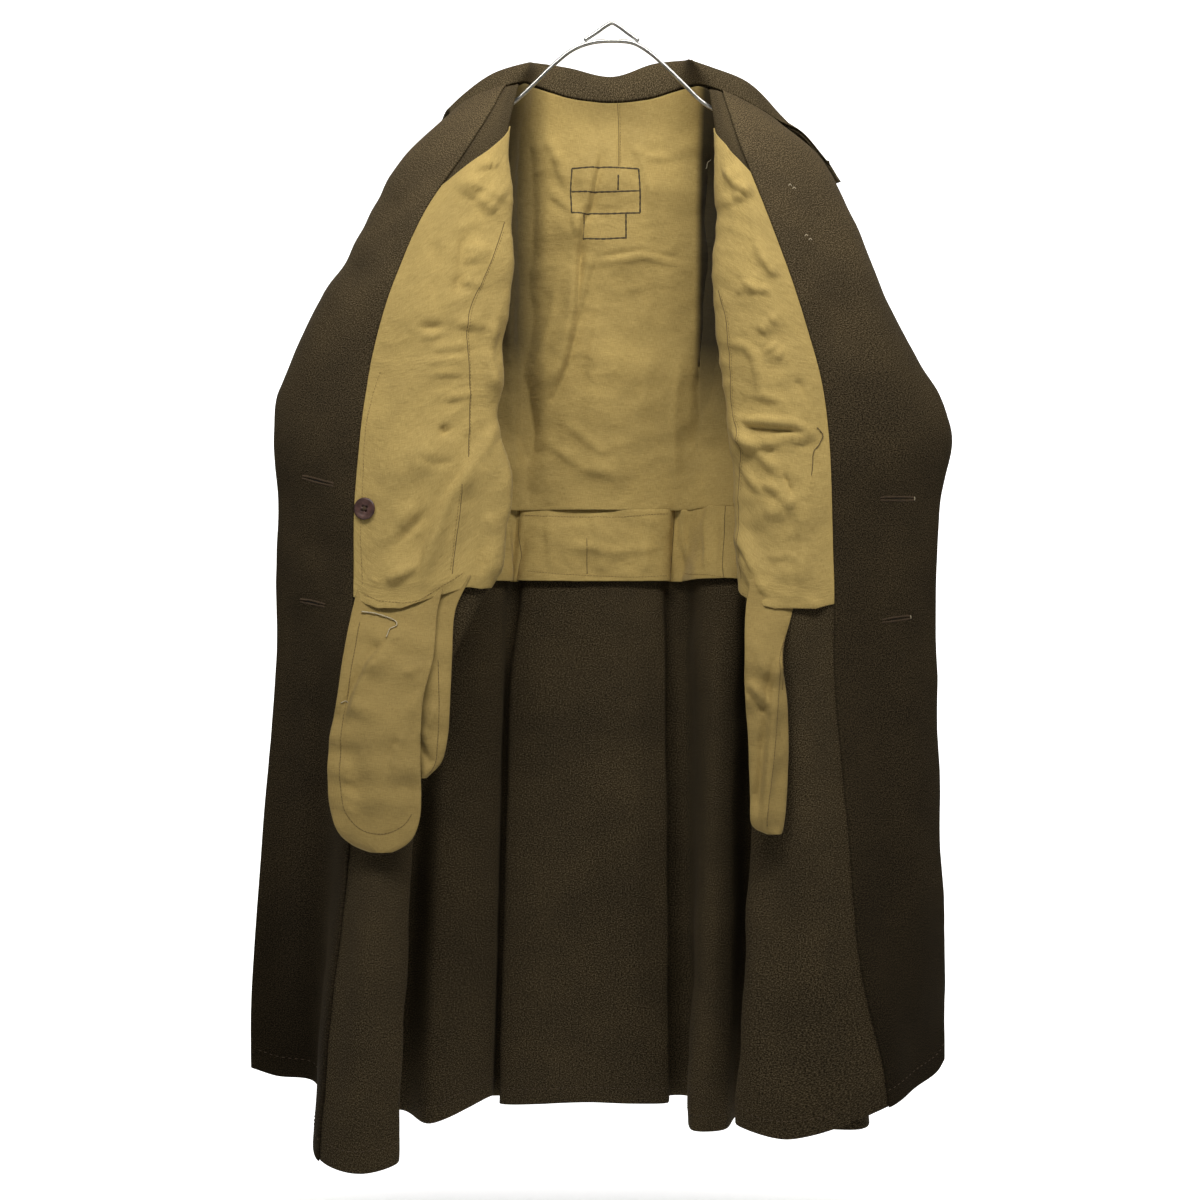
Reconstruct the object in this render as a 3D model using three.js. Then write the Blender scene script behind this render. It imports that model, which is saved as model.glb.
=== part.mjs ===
// An officer's wool overcoat on a wire hanger, hanging open with both fronts turned back.
// Units are millimetres. +Z is up, the open front faces -Y, +X is to the viewer's right.
// The origin is the inside top of the hanger's eye, where a hook holds it.
import * as THREE from 'three';
import { mergeVertices } from 'three/addons/utils/BufferGeometryUtils.js';

// Driving sizes of the cloth
const WOOL = 2.6;               // melton wall
const COTTON = 1.1;             // lining wall
const FACING = 2.4;             // wool facing wall
const COLLAR_WALL = 3.2;        // two layers of wool and the canvas between them
const SEAM_GAP = 0.3;           // space kept between two pieces that are sewn together
const LAYER_GAP = 0.35;         // space kept between a panel and what lies on it

// Driving sizes of the hard pieces
const WIRE_RADIUS = 2.25;
const BUTTON = { radius: 11.5, thick: 3.2, hole: 1.1, holeRing: 2.6 };
const COAT_BUTTON = { radius: 14, thick: 4.0, hole: 1.3, holeRing: 3.2 };
const BUTTON_SEGMENTS = 4;

// Finishes
const FINISH = {
  wool: { color: 0x3a3122, roughness: 0.95, metalness: 0 },
  facing: { color: 0x40362a, roughness: 0.95, metalness: 0 },
  cotton: { color: 0x8d7a45, roughness: 0.85, metalness: 0 },
  button: { color: 0x43303a, roughness: 0.4, metalness: 0 },
  wire: { color: 0xc9c4b8, roughness: 0.3, metalness: 1 },
};

// Plan sections of the coat from the collar seam down to the hem, one row a height.
// Each entry is [x, y] at the row's z, or [x, y, z] where that point has a height of its own.
// From the centre of the back the cloth runs outward: panel is the edge of the flat back
// panel, tuck and turn are the deep pleat beside it, sideback and bulge are the two sides of
// the fold that stands forward, hollow lies behind it, and armBack is the side seam or the
// back of the armhole. The front starts at armFront, comes round to the fold where it is
// turned back, and runs outward again over lining, the facing's seam, face, wrap and edge.
const BACK_COLUMNS = ['centre', 'panel', 'tuck', 'turn', 'sideback', 'bulge', 'hollow', 'armBack'];
const FRONT_COLUMNS = ['armFront', 'mid', 'fold', 'lining', 'seam', 'face', 'wrap', 'edge'];

const LEFT_BACK = [
  { z: -60, centre: [0, 60, -67], panel: [-45, 57, -63], tuck: [-68, 52, -58], turn: [-86, 38, -56],
    sideback: [-99, 10, -61], bulge: [-150, 9, -102], hollow: [-182, 8, -126], armBack: [-212, 7, -147] },
  { z: -150, centre: [0, 70], panel: [-45, 71], tuck: [-70, 70], turn: [-92, 69],
    sideback: [-118, 66], bulge: [-158, 56], hollow: [-188, 40], armBack: [-211.9, 14] },
  { z: -220, centre: [0, 78], panel: [-50, 79], tuck: [-75, 79], turn: [-98, 78],
    sideback: [-125, 75], bulge: [-162, 68], hollow: [-190, 56], armBack: [-209.4, 41] },
  { z: -300, centre: [0, 84], panel: [-55, 85], tuck: [-80, 85], turn: [-102, 84],
    sideback: [-128, 81], bulge: [-163, 73], hollow: [-190, 58], armBack: [-206.5, 40] },
  { z: -370, centre: [0, 86], panel: [-58, 87], tuck: [-84, 87], turn: [-105, 86],
    sideback: [-130, 83], bulge: [-162, 73], hollow: [-190, 52], armBack: [-204, 5] },
  { z: -405, centre: [0, 86], panel: [-60, 87], tuck: [-85, 88], turn: [-106, 87],
    sideback: [-132, 84], bulge: [-164, 72], hollow: [-192, 50], armBack: [-206, 4] },
  { z: -450, centre: [0, 86], panel: [-66, 87], tuck: [-88, 88], turn: [-106, 87],
    sideback: [-132, 83], bulge: [-165, 70], hollow: [-193, 46], armBack: [-207, 3] },
  { z: -520, centre: [0, 84], panel: [-75, 85], tuck: [-92, 86], turn: [-107, 86],
    sideback: [-130, 81], bulge: [-165, 66], hollow: [-194, 42], armBack: [-207, 2] },
  { z: -600, centre: [-5, 80], panel: [-96, 80], tuck: [-104, 90], turn: [-115, 89],
    sideback: [-124, 75], bulge: [-168, 58], hollow: [-196, 36], armBack: [-207, 2] },
  { z: -630, centre: [-9, 80], panel: [-102, 79], tuck: [-105, 91], turn: [-117, 91],
    sideback: [-125, 73], bulge: [-170, 54], hollow: [-197, 34], armBack: [-207, 2] },
  { z: -700, centre: [-18, 78], panel: [-112, 76], tuck: [-106, 93], turn: [-119, 95],
    sideback: [-126, 72], bulge: [-176, 42], hollow: [-199, 30], armBack: [-208, 2] },
  { z: -850, centre: [-25, 77], panel: [-117, 75], tuck: [-108, 97], turn: [-123, 99],
    sideback: [-129, 70], bulge: [-186, 24], hollow: [-214, 42], armBack: [-236, 18] },
  { z: -1000, centre: [-30, 76], panel: [-121, 74], tuck: [-110, 99], turn: [-126, 101],
    sideback: [-132, 68], bulge: [-192, 10], hollow: [-226, 46], armBack: [-268, 28] },
  { z: -1110, centre: [-32, 76], panel: [-124, 73], tuck: [-112, 100], turn: [-129, 102],
    sideback: [-135, 67], bulge: [-196, 3], hollow: [-233, 48], armBack: [-290, 28] },
  { z: -1187, centre: [-33, 75], panel: [-126, 72], tuck: [-113, 100], turn: [-131, 102],
    sideback: [-137, 66, -1178], bulge: [-197, 0], hollow: [-236, 49], armBack: [-298, 27] },
];

const LEFT_FRONT = [
  { z: -65, armFront: [-212, 5, -147.5], mid: [-155, 6, -106.5], fold: [-101, 0, -64],
    lining: [-106, -5, -66], seam: [-113, -7, -68], face: [-148, -6, -81],
    wrap: [-178, 10, -99], edge: [-203, 42, -132] },
  { z: -150, armFront: [-211.9, -4], mid: [-165, -26], fold: [-113, -45], lining: [-128, -58],
    seam: [-150, -62], face: [-198, -48], wrap: [-225, -8], edge: [-222, 30] },
  { z: -220, armFront: [-209.4, -31], mid: [-160, -42], fold: [-110, -55], lining: [-150, -75],
    seam: [-194, -78], face: [-243, -60], wrap: [-268, -12], edge: [-260, 26] },
  { z: -300, armFront: [-206.5, -30], mid: [-158, -46], fold: [-112, -60], lining: [-165, -84],
    seam: [-227, -86], face: [-286, -66], wrap: [-308, -22], edge: [-302, 8] },
  { z: -370, armFront: [-204, 5], mid: [-160, -42], fold: [-121, -60], lining: [-180, -86],
    seam: [-247, -88], face: [-313, -72], wrap: [-338, -36], edge: [-337, -15] },
  { z: -405, armFront: [-206, 4], mid: [-160, -42], fold: [-122, -60], lining: [-184, -86],
    seam: [-253, -88], face: [-318, -77], wrap: [-346, -52], edge: [-353, -38] },
  { z: -450, armFront: [-207, 3], mid: [-160, -42], fold: [-122, -60], lining: [-188, -86],
    seam: [-259, -88], face: [-318, -80], wrap: [-342, -68], edge: [-351, -58] },
  { z: -520, armFront: [-207, 2], mid: [-155, -42], fold: [-112, -60], lining: [-185, -86],
    seam: [-265, -88], face: [-315, -80], wrap: [-339, -69], edge: [-349, -60] },
  { z: -600, armFront: [-207, 2], mid: [-164, -42], fold: [-128, -65], lining: [-195, -88],
    seam: [-266, -88], face: [-313, -78], wrap: [-340, -66], edge: [-351, -57] },
  { z: -630, armFront: [-207, 2], mid: [-170, -44], fold: [-140, -68], lining: [-200, -90],
    seam: [-266, -90], face: [-311, -76], wrap: [-340, -64], edge: [-352, -55] },
  { z: -700, armFront: [-208, 2], mid: [-190, -46], fold: [-172, -75], lining: [-213, -99],
    seam: [-264, -97], face: [-304, -70], wrap: [-340, -56], edge: [-354, -50] },
  { z: -850, armFront: [-236, 18], mid: [-226, -40], fold: [-203, -95], lining: [-230, -124],
    seam: [-264, -112], face: [-300, -48], wrap: [-348, -38], edge: [-369, -36] },
  { z: -1000, armFront: [-268, 28], mid: [-262, -30], fold: [-208, -110], lining: [-241, -136],
    seam: [-281, -116], face: [-310, -22], wrap: [-355, -18], edge: [-382, -24] },
  { z: -1110, armFront: [-290, 28], mid: [-280, -30], fold: [-214, -120], lining: [-248, -142],
    seam: [-291, -120], face: [-318, -4, -1080], wrap: [-360, -6, -1072], edge: [-386, -18, -1060] },
  { z: -1187, armFront: [-298, 27], mid: [-286, -32], fold: [-216, -124], lining: [-250, -144, -1192],
    seam: [-294, -122, -1186], face: [-322, 6, -1142], wrap: [-362, -2, -1134], edge: [-386, -18, -1121] },
];

const RIGHT_BACK = [
  { z: -60, centre: [0, 60, -67], panel: [45, 57, -63], tuck: [66, 52, -58], turn: [84, 38, -57],
    sideback: [101, 10, -65], bulge: [150, 9, -104], hollow: [182, 8, -127], armBack: [212, 7, -147] },
  { z: -150, centre: [0, 70], panel: [45, 71], tuck: [68, 70], turn: [90, 69],
    sideback: [116, 66], bulge: [158, 56], hollow: [188, 40], armBack: [211.9, 14] },
  { z: -220, centre: [0, 78], panel: [50, 79], tuck: [72, 79], turn: [95, 78],
    sideback: [124, 75], bulge: [162, 68], hollow: [190, 56], armBack: [209.4, 41] },
  { z: -300, centre: [0, 84], panel: [54, 85], tuck: [75, 85], turn: [98, 84],
    sideback: [127, 81], bulge: [163, 73], hollow: [190, 58], armBack: [206.5, 40] },
  { z: -370, centre: [0, 86], panel: [55, 87], tuck: [76, 87], turn: [99, 86],
    sideback: [128, 83], bulge: [162, 73], hollow: [190, 52], armBack: [204, 5] },
  { z: -405, centre: [0, 86], panel: [55, 87], tuck: [76, 88], turn: [99, 87],
    sideback: [128, 82], bulge: [162, 71], hollow: [192, 50], armBack: [206, 4] },
  { z: -450, centre: [0, 86], panel: [55, 87], tuck: [75, 88], turn: [97, 87],
    sideback: [126, 80], bulge: [160, 66], hollow: [191, 48], armBack: [206, 3] },
  { z: -520, centre: [0, 84], panel: [54, 85], tuck: [72, 88], turn: [92, 84],
    sideback: [115, 64], bulge: [150, 44], hollow: [182, 46], armBack: [206, 3] },
  { z: -600, centre: [-3, 80], panel: [55, 80], tuck: [66, 92], turn: [84, 92],
    sideback: [100, 34], bulge: [134, 10], hollow: [165, 32], armBack: [206, 5] },
  { z: -630, centre: [-6, 79], panel: [58, 79], tuck: [64, 93], turn: [84, 94],
    sideback: [100, 24], bulge: [133, 2], hollow: [162, 30], armBack: [206, 5] },
  { z: -700, centre: [-15, 78], panel: [61, 77], tuck: [62, 95], turn: [84, 97],
    sideback: [99, 4], bulge: [130, -6], hollow: [158, 28], armBack: [207, 5] },
  { z: -850, centre: [-24, 77], panel: [63, 76], tuck: [61, 97], turn: [85, 100],
    sideback: [99, -8], bulge: [126, -12], hollow: [154, 32], armBack: [226, 18] },
  { z: -1000, centre: [-30, 76], panel: [64, 76], tuck: [61, 98], turn: [86, 101],
    sideback: [93, -18], bulge: [126, -18], hollow: [152, 36], armBack: [252, 28] },
  { z: -1110, centre: [-32, 76], panel: [64, 75], tuck: [60, 99], turn: [86, 102],
    sideback: [87, -23], bulge: [121, -20], hollow: [148, 38], armBack: [272, 31] },
  { z: -1187, centre: [-33, 75], panel: [64, 75], tuck: [60, 99], turn: [86, 102],
    sideback: [85, -25], bulge: [119, -22], hollow: [147, 38], armBack: [280, 31] },
];

const RIGHT_FRONT = [
  { z: -65, armFront: [212, 5, -147.5], mid: [155, 6, -109], fold: [105, 0, -70], lining: [110, -5, -71],
    seam: [118, -7, -74], face: [152, -6, -91], wrap: [182, 10, -107], edge: [203, 42, -135] },
  { z: -150, armFront: [211.9, -4], mid: [165, -26], fold: [111, -45], lining: [121, -57],
    seam: [134, -62], face: [192, -50], wrap: [225, -8], edge: [222, 30] },
  { z: -220, armFront: [209.4, -31], mid: [160, -42], fold: [114, -55], lining: [134, -73],
    seam: [159, -78], face: [222, -64], wrap: [256, -12], edge: [252, 26] },
  { z: -300, armFront: [206.5, -30], mid: [158, -46], fold: [110, -60], lining: [145, -84],
    seam: [187, -86], face: [255, -70], wrap: [288, -22], edge: [284, 8] },
  { z: -370, armFront: [204, 5], mid: [162, -42], fold: [118, -60], lining: [158, -86],
    seam: [208, -88], face: [286, -74], wrap: [323, -34], edge: [322, -12] },
  { z: -405, armFront: [206, 4], mid: [164, -42], fold: [122, -60], lining: [164, -86],
    seam: [216, -88], face: [300, -76], wrap: [342, -42], edge: [343, -24] },
  { z: -450, armFront: [206, 3], mid: [166, -42], fold: [127, -60], lining: [170, -87],
    seam: [222, -89], face: [305, -80], wrap: [347, -58], edge: [355, -46] },
  { z: -520, armFront: [206, 3], mid: [172, -42], fold: [134, -60], lining: [175, -87],
    seam: [225, -89], face: [290, -82], wrap: [329, -69], edge: [341, -60] },
  { z: -600, armFront: [206, 5], mid: [176, -42], fold: [137, -65], lining: [178, -88],
    seam: [227, -90], face: [287, -82], wrap: [325, -68], edge: [336, -59] },
  { z: -630, armFront: [206, 5], mid: [178, -43], fold: [139, -67], lining: [179, -90],
    seam: [227, -91], face: [287, -82], wrap: [325, -67], edge: [336, -58] },
  { z: -700, armFront: [207, 5], mid: [182, -44], fold: [142, -70], lining: [180, -92],
    seam: [227, -93], face: [288, -82], wrap: [326, -66], edge: [337, -56] },
  { z: -850, armFront: [226, 18], mid: [206, -38], fold: [144, -74], lining: [184, -97],
    seam: [240, -96], face: [296, -78], wrap: [332, -55], edge: [342, -46] },
  { z: -1000, armFront: [252, 28], mid: [238, -30], fold: [139, -72], lining: [184, -99],
    seam: [254, -92], face: [306, -64], wrap: [343, -34], edge: [352, -25] },
  { z: -1110, armFront: [272, 31], mid: [258, -26], fold: [131, -64], lining: [181, -97],
    seam: [278, -74, -1096], face: [315, -42, -1084], wrap: [347, -12, -1072], edge: [356, -4, -1062] },
  { z: -1187, armFront: [280, 31], mid: [264, -26, -1184], fold: [128, -60, -1168],
    lining: [178, -95, -1174], seam: [287, -62, -1150], face: [320, -34, -1137],
    wrap: [348, -8, -1127], edge: [357, 0, -1116] },
];

// Steps of the wall between one named column and the next
const BACK_STEPS = [3, 2, 2, 2, 3, 2, 2];
const FRONT_STEPS = [2, 3, 3, 2, 2, 2, 1];
// Steps between one row and the next, from the collar seam to the hem
const ROW_STEPS = [2, 1, 1, 1, 1, 1, 1, 1, 1, 1, 1, 1, 1, 1];
// Rows where a lining piece ends, counted in the tables above
const WAIST_TUCK_ROW = 7;
const BACK_LINING_HEM_ROW = 8;
const FRONT_LINING_HEM_ROW = 9;

// Collar stations from the back's centre outward: the neck seam, the top of the stand, the
// roll, the top of the fall, its middle and its outer edge.
const COLLAR_COLUMNS = ['seam', 'stand', 'roll', 'fall', 'spread', 'edge'];
const COLLAR_CENTRE = { seam: [0, 61, -64], stand: [0, 72, -40], roll: [0, 80, -30.5],
  fall: [0, 88, -37], spread: [0, 91, -74], edge: [0, 93, -115] };
const COLLAR_LEFT = [
  { seam: [-45, 58, -60], stand: [-46, 69, -33], roll: [-47, 77, -22],
    fall: [-50, 85, -29], spread: [-55, 89, -70], edge: [-60, 91, -118] },
  { seam: [-81, 44, -52.5], stand: [-80, 52, -34], roll: [-83, 60, -22],
    fall: [-88, 68, -28], spread: [-98, 76, -72], edge: [-106, 80, -122] },
  { seam: [-100, 3, -61], stand: [-95, 6, -46], roll: [-96, 13, -37.5],
    fall: [-101, 23, -40], spread: [-119, 46, -71], edge: [-136, 70, -120] },
  { seam: [-132, -5, -73], stand: [-128, 3, -58], roll: [-130, 12, -48.5],
    fall: [-135, 23, -51], spread: [-148, 47, -82], edge: [-163, 70, -127] },
  { seam: [-161, 2.2, -86], stand: [-158, 9, -76], roll: [-161, 18, -68.5],
    fall: [-166, 28, -72], spread: [-176, 50, -97], edge: [-186, 69, -136] },
  { seam: [-177.5, 11, -94], stand: [-178, 17, -87], roll: [-182, 26, -85],
    fall: [-187, 36, -90], spread: [-194, 52, -110], edge: [-202, 69, -142] },
];
const COLLAR_RIGHT = [
  { seam: [45, 58, -60], stand: [46, 69, -31], roll: [46, 77, -18],
    fall: [49, 85, -25], spread: [54, 89, -68], edge: [60, 91, -118] },
  { seam: [80, 44, -52.5], stand: [78, 52, -32], roll: [80, 60, -19],
    fall: [86, 68, -25], spread: [98, 76, -70], edge: [106, 80, -122] },
  { seam: [103, 4.5, -64.6], stand: [94, 6, -44], roll: [89, 13, -34.5],
    fall: [97, 23, -38], spread: [119, 46, -73], edge: [136, 70, -122] },
  { seam: [147, -0.5, -83.2], stand: [143, 6, -66], roll: [146, 15, -56],
    fall: [151, 26, -60], spread: [162, 50, -91], edge: [175, 70, -134] },
  { seam: [180, 7, -101], stand: [181, 11, -95], roll: [187, 21, -93],
    fall: [193, 31, -99], spread: [202, 52, -120], edge: [210, 68, -148] },
  { seam: [206, 12, -112], stand: [210, 17, -113], roll: [215, 25, -122],
    fall: [220, 33, -131], spread: [226, 44, -146], edge: [230, 56, -164] },
  { seam: [235, 17, -144], stand: [239, 17, -148], roll: [242, 18, -152],
    fall: [245, 19, -156], spread: [248, 20, -160], edge: [251, 20, -164] },
];
const COLLAR_STEPS = [2, 2, 2, 2, 2];
const COLLAR_STATION_STEPS = 2;

// Sleeve rings from the armhole to the cuff: the outer and inner point, the depth's middle
// and half of it. Both sleeves are alike; sideways distances are from the coat's centre.
const SLEEVE_RINGS = [
  { outX: 213.9, outZ: -149, inX: 208.2, inZ: -368, midY: 5, half: 36 },
  { outX: 226, outZ: -170, inX: 213, inZ: -386, midY: 5, half: 43 },
  { outX: 240, outZ: -213, inX: 218, inZ: -404, midY: 6, half: 46 },
  { outX: 263, outZ: -270, inX: 219, inZ: -427, midY: 7, half: 47 },
  { outX: 285, outZ: -333, inX: 219, inZ: -456, midY: 8, half: 46 },
  { outX: 304, outZ: -405, inX: 219, inZ: -495, midY: 9, half: 45 },
  { outX: 314, outZ: -500, inX: 219, inZ: -550, midY: 10, half: 44 },
  { outX: 317, outZ: -620, inX: 221, inZ: -635, midY: 11, half: 42 },
  { outX: 318, outZ: -745, inX: 224, inZ: -745, midY: 12, half: 40 },
];
const SLEEVE_SIDES = 16;

// Pocket bags hang free below the lining: height, left and right side, and depth
const BAG_WALL = 1.6;
const BAG_LEFT = [
  { z: -630.6, left: -271, right: -182, y: -94 },
  { z: -680, left: -274, right: -186, y: -108 },
  { z: -720, left: -278, right: -197, y: -117 },
  { z: -760, left: -284, right: -200, y: -126 },
  { z: -800, left: -285, right: -197, y: -132 },
  { z: -835, left: -280, right: -195, y: -135 },
  { z: -860, left: -268, right: -203, y: -136 },
  { z: -872, left: -250, right: -216, y: -136 },
];
const BAG_LEFT_INNER = [
  { z: -630.6, left: -178, right: -162, y: -87 },
  { z: -680, left: -182, right: -168, y: -95 },
  { z: -720, left: -192, right: -170, y: -104 },
  { z: -760, left: -194, right: -173, y: -111 },
  { z: -800, left: -192, right: -180, y: -116 },
];
const BAG_RIGHT = [
  { z: -630.6, left: 136, right: 184, y: -92.7 },
  { z: -680, left: 134, right: 172, y: -102 },
  { z: -715, left: 135, right: 175, y: -104 },
  { z: -760, left: 138, right: 178, y: -106 },
  { z: -820, left: 140, right: 176, y: -108 },
  { z: -858, left: 146, right: 172, y: -109 },
];
const BAG_STEPS = 4;
const BAG_SWELL = 3;            // how far a bag's middle stands forward

// Hanger: a bent wire, an arch over two arms, with a peaked eye standing on it
const ARCH = [
  [-200, 5.5, -144.2], [-172, 6, -123.7], [-142, 6, -102.7], [-108, 3, -84], [-84, 1, -63],
  [-62, 0, -42], [-43, 0, -27], [-23, 0, -19.3], [0, 0, -17.2], [23, 0, -19.5],
  [41, 0, -30], [56, 0, -43], [78, 1, -64], [100, 3, -84], [142, 6, -104.9],
  [172, 6, -125.2], [200, 5.5, -144.2],
];
const EYE = [
  [-29, 0, -16.1], [-17, 0, -8.2], [-6, 0, -0.4], [0, 0, WIRE_RADIUS], [6, 0, -0.4],
  [16, 0, -7.8], [28, 0, -16.5],
];
const WIRE_SIDES = 8;
const WIRE_STEPS = 2;             // rings between one point of a wire and the next

const point = (list, z) => new THREE.Vector3(list[0], list[1], list.length > 2 ? list[2] : z);

// Points along a smooth line through the given ones, with its own number of steps in each
// stretch between two of them
function smoothLine(points, steps) {
  const curve = new THREE.CatmullRomCurve3(points, false, 'centripetal');
  const stretches = points.length - 1;
  const line = [];
  for (let i = 0; i < stretches; i += 1) {
    const count = Array.isArray(steps) ? steps[i] : steps;
    for (let k = 0; k < count; k += 1) {
      line.push(curve.getPoint((i + k / count) / stretches));
    }
  }
  line.push(points[stretches].clone());
  return line;
}

// Grid of points: smooth across each table row, then smooth down the columns
function smoothGrid(table, columns, columnSteps, rowSteps) {
  const across = table.map((row) =>
    smoothLine(columns.map((name) => point(row[name], row.z)), columnSteps));
  const columnCount = across[0].length;
  const down = [];
  for (let c = 0; c < columnCount; c += 1) {
    down.push(smoothLine(across.map((line) => line[c]), rowSteps));
  }
  return down[0].map((_, r) => down.map((line) => line[r]));
}

// Unit normals of a grid, on the side given by turn: 1 or -1
function gridNormals(grid, turn) {
  return grid.map((line, r) => line.map((_, c) => {
    const up = grid[Math.max(r - 1, 0)][c];
    const low = grid[Math.min(r + 1, grid.length - 1)][c];
    const before = line[Math.max(c - 1, 0)];
    const after = line[Math.min(c + 1, line.length - 1)];
    const along = after.clone().sub(before);
    const downward = low.clone().sub(up);
    return along.cross(downward).normalize().multiplyScalar(turn);
  }));
}

// The same normals, with the first row's like the second's, so that an upper edge on a
// sharp bend keeps square ends
function steadyTop(normals) {
  return [normals[1].map((normal) => normal.clone()), ...normals.slice(1)];
}

// A closed wall between two offsets of a grid. ring joins the last column to the first.
function wall(grid, normals, low, high, ring = false) {
  const rows = grid.length;
  const columns = grid[0].length;
  const positions = [];
  for (const offset of [low, high]) {
    grid.forEach((line, r) => line.forEach((place, c) => {
      const moved = place.clone().addScaledVector(normals[r][c], offset);
      positions.push(moved.x, moved.y, moved.z);
    }));
  }
  const index = [];
  const at = (side, r, c) => side * rows * columns + r * columns + (c % columns);
  const quad = (a, b, c, d) => index.push(a, b, c, a, c, d);
  const spans = ring ? columns : columns - 1;
  for (let r = 0; r < rows - 1; r += 1) {
    for (let c = 0; c < spans; c += 1) {
      quad(at(0, r, c), at(0, r, c + 1), at(0, r + 1, c + 1), at(0, r + 1, c));
      quad(at(1, r, c), at(1, r + 1, c), at(1, r + 1, c + 1), at(1, r, c + 1));
    }
  }
  for (let c = 0; c < spans; c += 1) {
    quad(at(0, 0, c), at(1, 0, c), at(1, 0, c + 1), at(0, 0, c + 1));
    quad(at(0, rows - 1, c), at(0, rows - 1, c + 1), at(1, rows - 1, c + 1), at(1, rows - 1, c));
  }
  if (!ring) {
    for (let r = 0; r < rows - 1; r += 1) {
      quad(at(0, r, 0), at(0, r + 1, 0), at(1, r + 1, 0), at(1, r, 0));
      const last = columns - 1;
      quad(at(0, r, last), at(1, r, last), at(1, r + 1, last), at(0, r + 1, last));
    }
  }
  return closedGeometry(positions, index);
}

// Geometry from shared points, with its faces turned outward
function closedGeometry(positions, index) {
  const corner = (i) => new THREE.Vector3().fromArray(positions, i * 3);
  let volume = 0;
  for (let i = 0; i < index.length; i += 3) {
    const [a, b, c] = [corner(index[i]), corner(index[i + 1]), corner(index[i + 2])];
    volume += a.dot(b.cross(c));
  }
  if (volume < 0) {
    for (let i = 0; i < index.length; i += 3) {
      [index[i + 1], index[i + 2]] = [index[i + 2], index[i + 1]];
    }
  }
  const geometry = new THREE.BufferGeometry();
  geometry.setAttribute('position', new THREE.Float32BufferAttribute(positions, 3));
  geometry.setIndex(index);
  geometry.computeVertexNormals();
  return geometry;
}

// Index of a named column or a table row in a finished grid
const sum = (list) => list.reduce((total, value) => total + value, 0);
const backIndex = (name) => sum(BACK_STEPS.slice(0, BACK_COLUMNS.indexOf(name)));
const frontIndex = (name) => sum(FRONT_STEPS.slice(0, FRONT_COLUMNS.indexOf(name)));
const rowIndex = (row) => sum(ROW_STEPS.slice(0, row));

// Part of a grid and its normals, between two rows and two columns. Each edge is drawn in
// by its own distance, such as half a seam's gap.
function cut(sheet, [r0, r1], [c0, c1], draw = { top: 0, bottom: 0, first: 0, last: 0 }) {
  const take = (grid) => grid.slice(r0, r1 + 1).map((line) => line.slice(c0, c1 + 1));
  const grid = take(sheet.grid).map((line) => line.map((place) => place.clone()));
  const normals = take(sheet.normals).map((line) => line.map((normal) => normal.clone()));
  const rows = grid.length;
  const columns = grid[0].length;
  const pull = (r, c, towardRow, towardColumn, distance) => {
    const share = distance / grid[r][c].distanceTo(grid[towardRow][towardColumn]);
    grid[r][c].lerp(grid[towardRow][towardColumn], share);
    normals[r][c].lerp(normals[towardRow][towardColumn], share);
  };
  for (let r = 0; r < rows; r += 1) {
    if (draw.first) pull(r, 0, r, 1, draw.first);
    if (draw.last) pull(r, columns - 1, r, columns - 2, draw.last);
  }
  for (let c = 0; c < columns; c += 1) {
    if (draw.top) pull(0, c, 1, c, draw.top);
    if (draw.bottom) pull(rows - 1, c, rows - 2, c, draw.bottom);
  }
  return { grid, normals };
}

const coat = new THREE.Group();

function addPiece(name, geometry, finish) {
  const material = new THREE.MeshStandardMaterial({ ...FINISH[finish] });
  const mesh = new THREE.Mesh(geometry, material);
  mesh.name = name;
  coat.add(mesh);
  return mesh;
}

function addSheet(name, sheet, low, high, finish) {
  return addPiece(name, wall(sheet.grid, sheet.normals, low, high), finish);
}

// The four cloth surfaces. Each is the inner face of the wool, and its normals point to
// the coat's inside.
function surface(table, columns, steps, turn) {
  const grid = smoothGrid(table, columns, steps, ROW_STEPS);
  return { grid, normals: steadyTop(gridNormals(grid, turn)) };
}
const leftBack = surface(LEFT_BACK, BACK_COLUMNS, BACK_STEPS, 1);
const rightBack = surface(RIGHT_BACK, BACK_COLUMNS, BACK_STEPS, -1);
const leftFront = surface(LEFT_FRONT, FRONT_COLUMNS, FRONT_STEPS, 1);
const rightFront = surface(RIGHT_FRONT, FRONT_COLUMNS, FRONT_STEPS, -1);

// Where front and back meet in the side seam, both take the mean of their normals
function joinSideSeam(back, front) {
  back.grid.forEach((line, r) => {
    const last = line.length - 1;
    if (line[last].distanceTo(front.grid[r][0]) < 1) {
      const mean = back.normals[r][last].clone().add(front.normals[r][0]).normalize();
      back.normals[r][last] = mean;
      front.normals[r][0] = mean.clone();
    }
  });
}
joinSideSeam(leftBack, leftFront);
joinSideSeam(rightBack, rightFront);

// The whole back, from the left side seam over the centre to the right one
const wholeBack = {
  grid: leftBack.grid.map((line, r) =>
    [...line].reverse().concat(rightBack.grid[r].slice(1))),
};
wholeBack.normals = steadyTop(gridNormals(wholeBack.grid, -1));
const backLast = wholeBack.grid[0].length - 1;
wholeBack.grid.forEach((_, r) => {
  wholeBack.normals[r][0] = leftBack.normals[r][leftBack.grid[r].length - 1];
  wholeBack.normals[r][backLast] = rightBack.normals[r][rightBack.grid[r].length - 1];
});
const backCentre = leftBack.grid[0].length - 1;

const hemRow = leftBack.grid.length - 1;
const HALF_GAP = SEAM_GAP / 2;

// Back: wool
addSheet('back', cut(wholeBack, [0, hemRow], [0, backLast],
  { top: 0, bottom: 0, first: HALF_GAP, last: HALF_GAP }), -WOOL, 0, 'wool');

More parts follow.
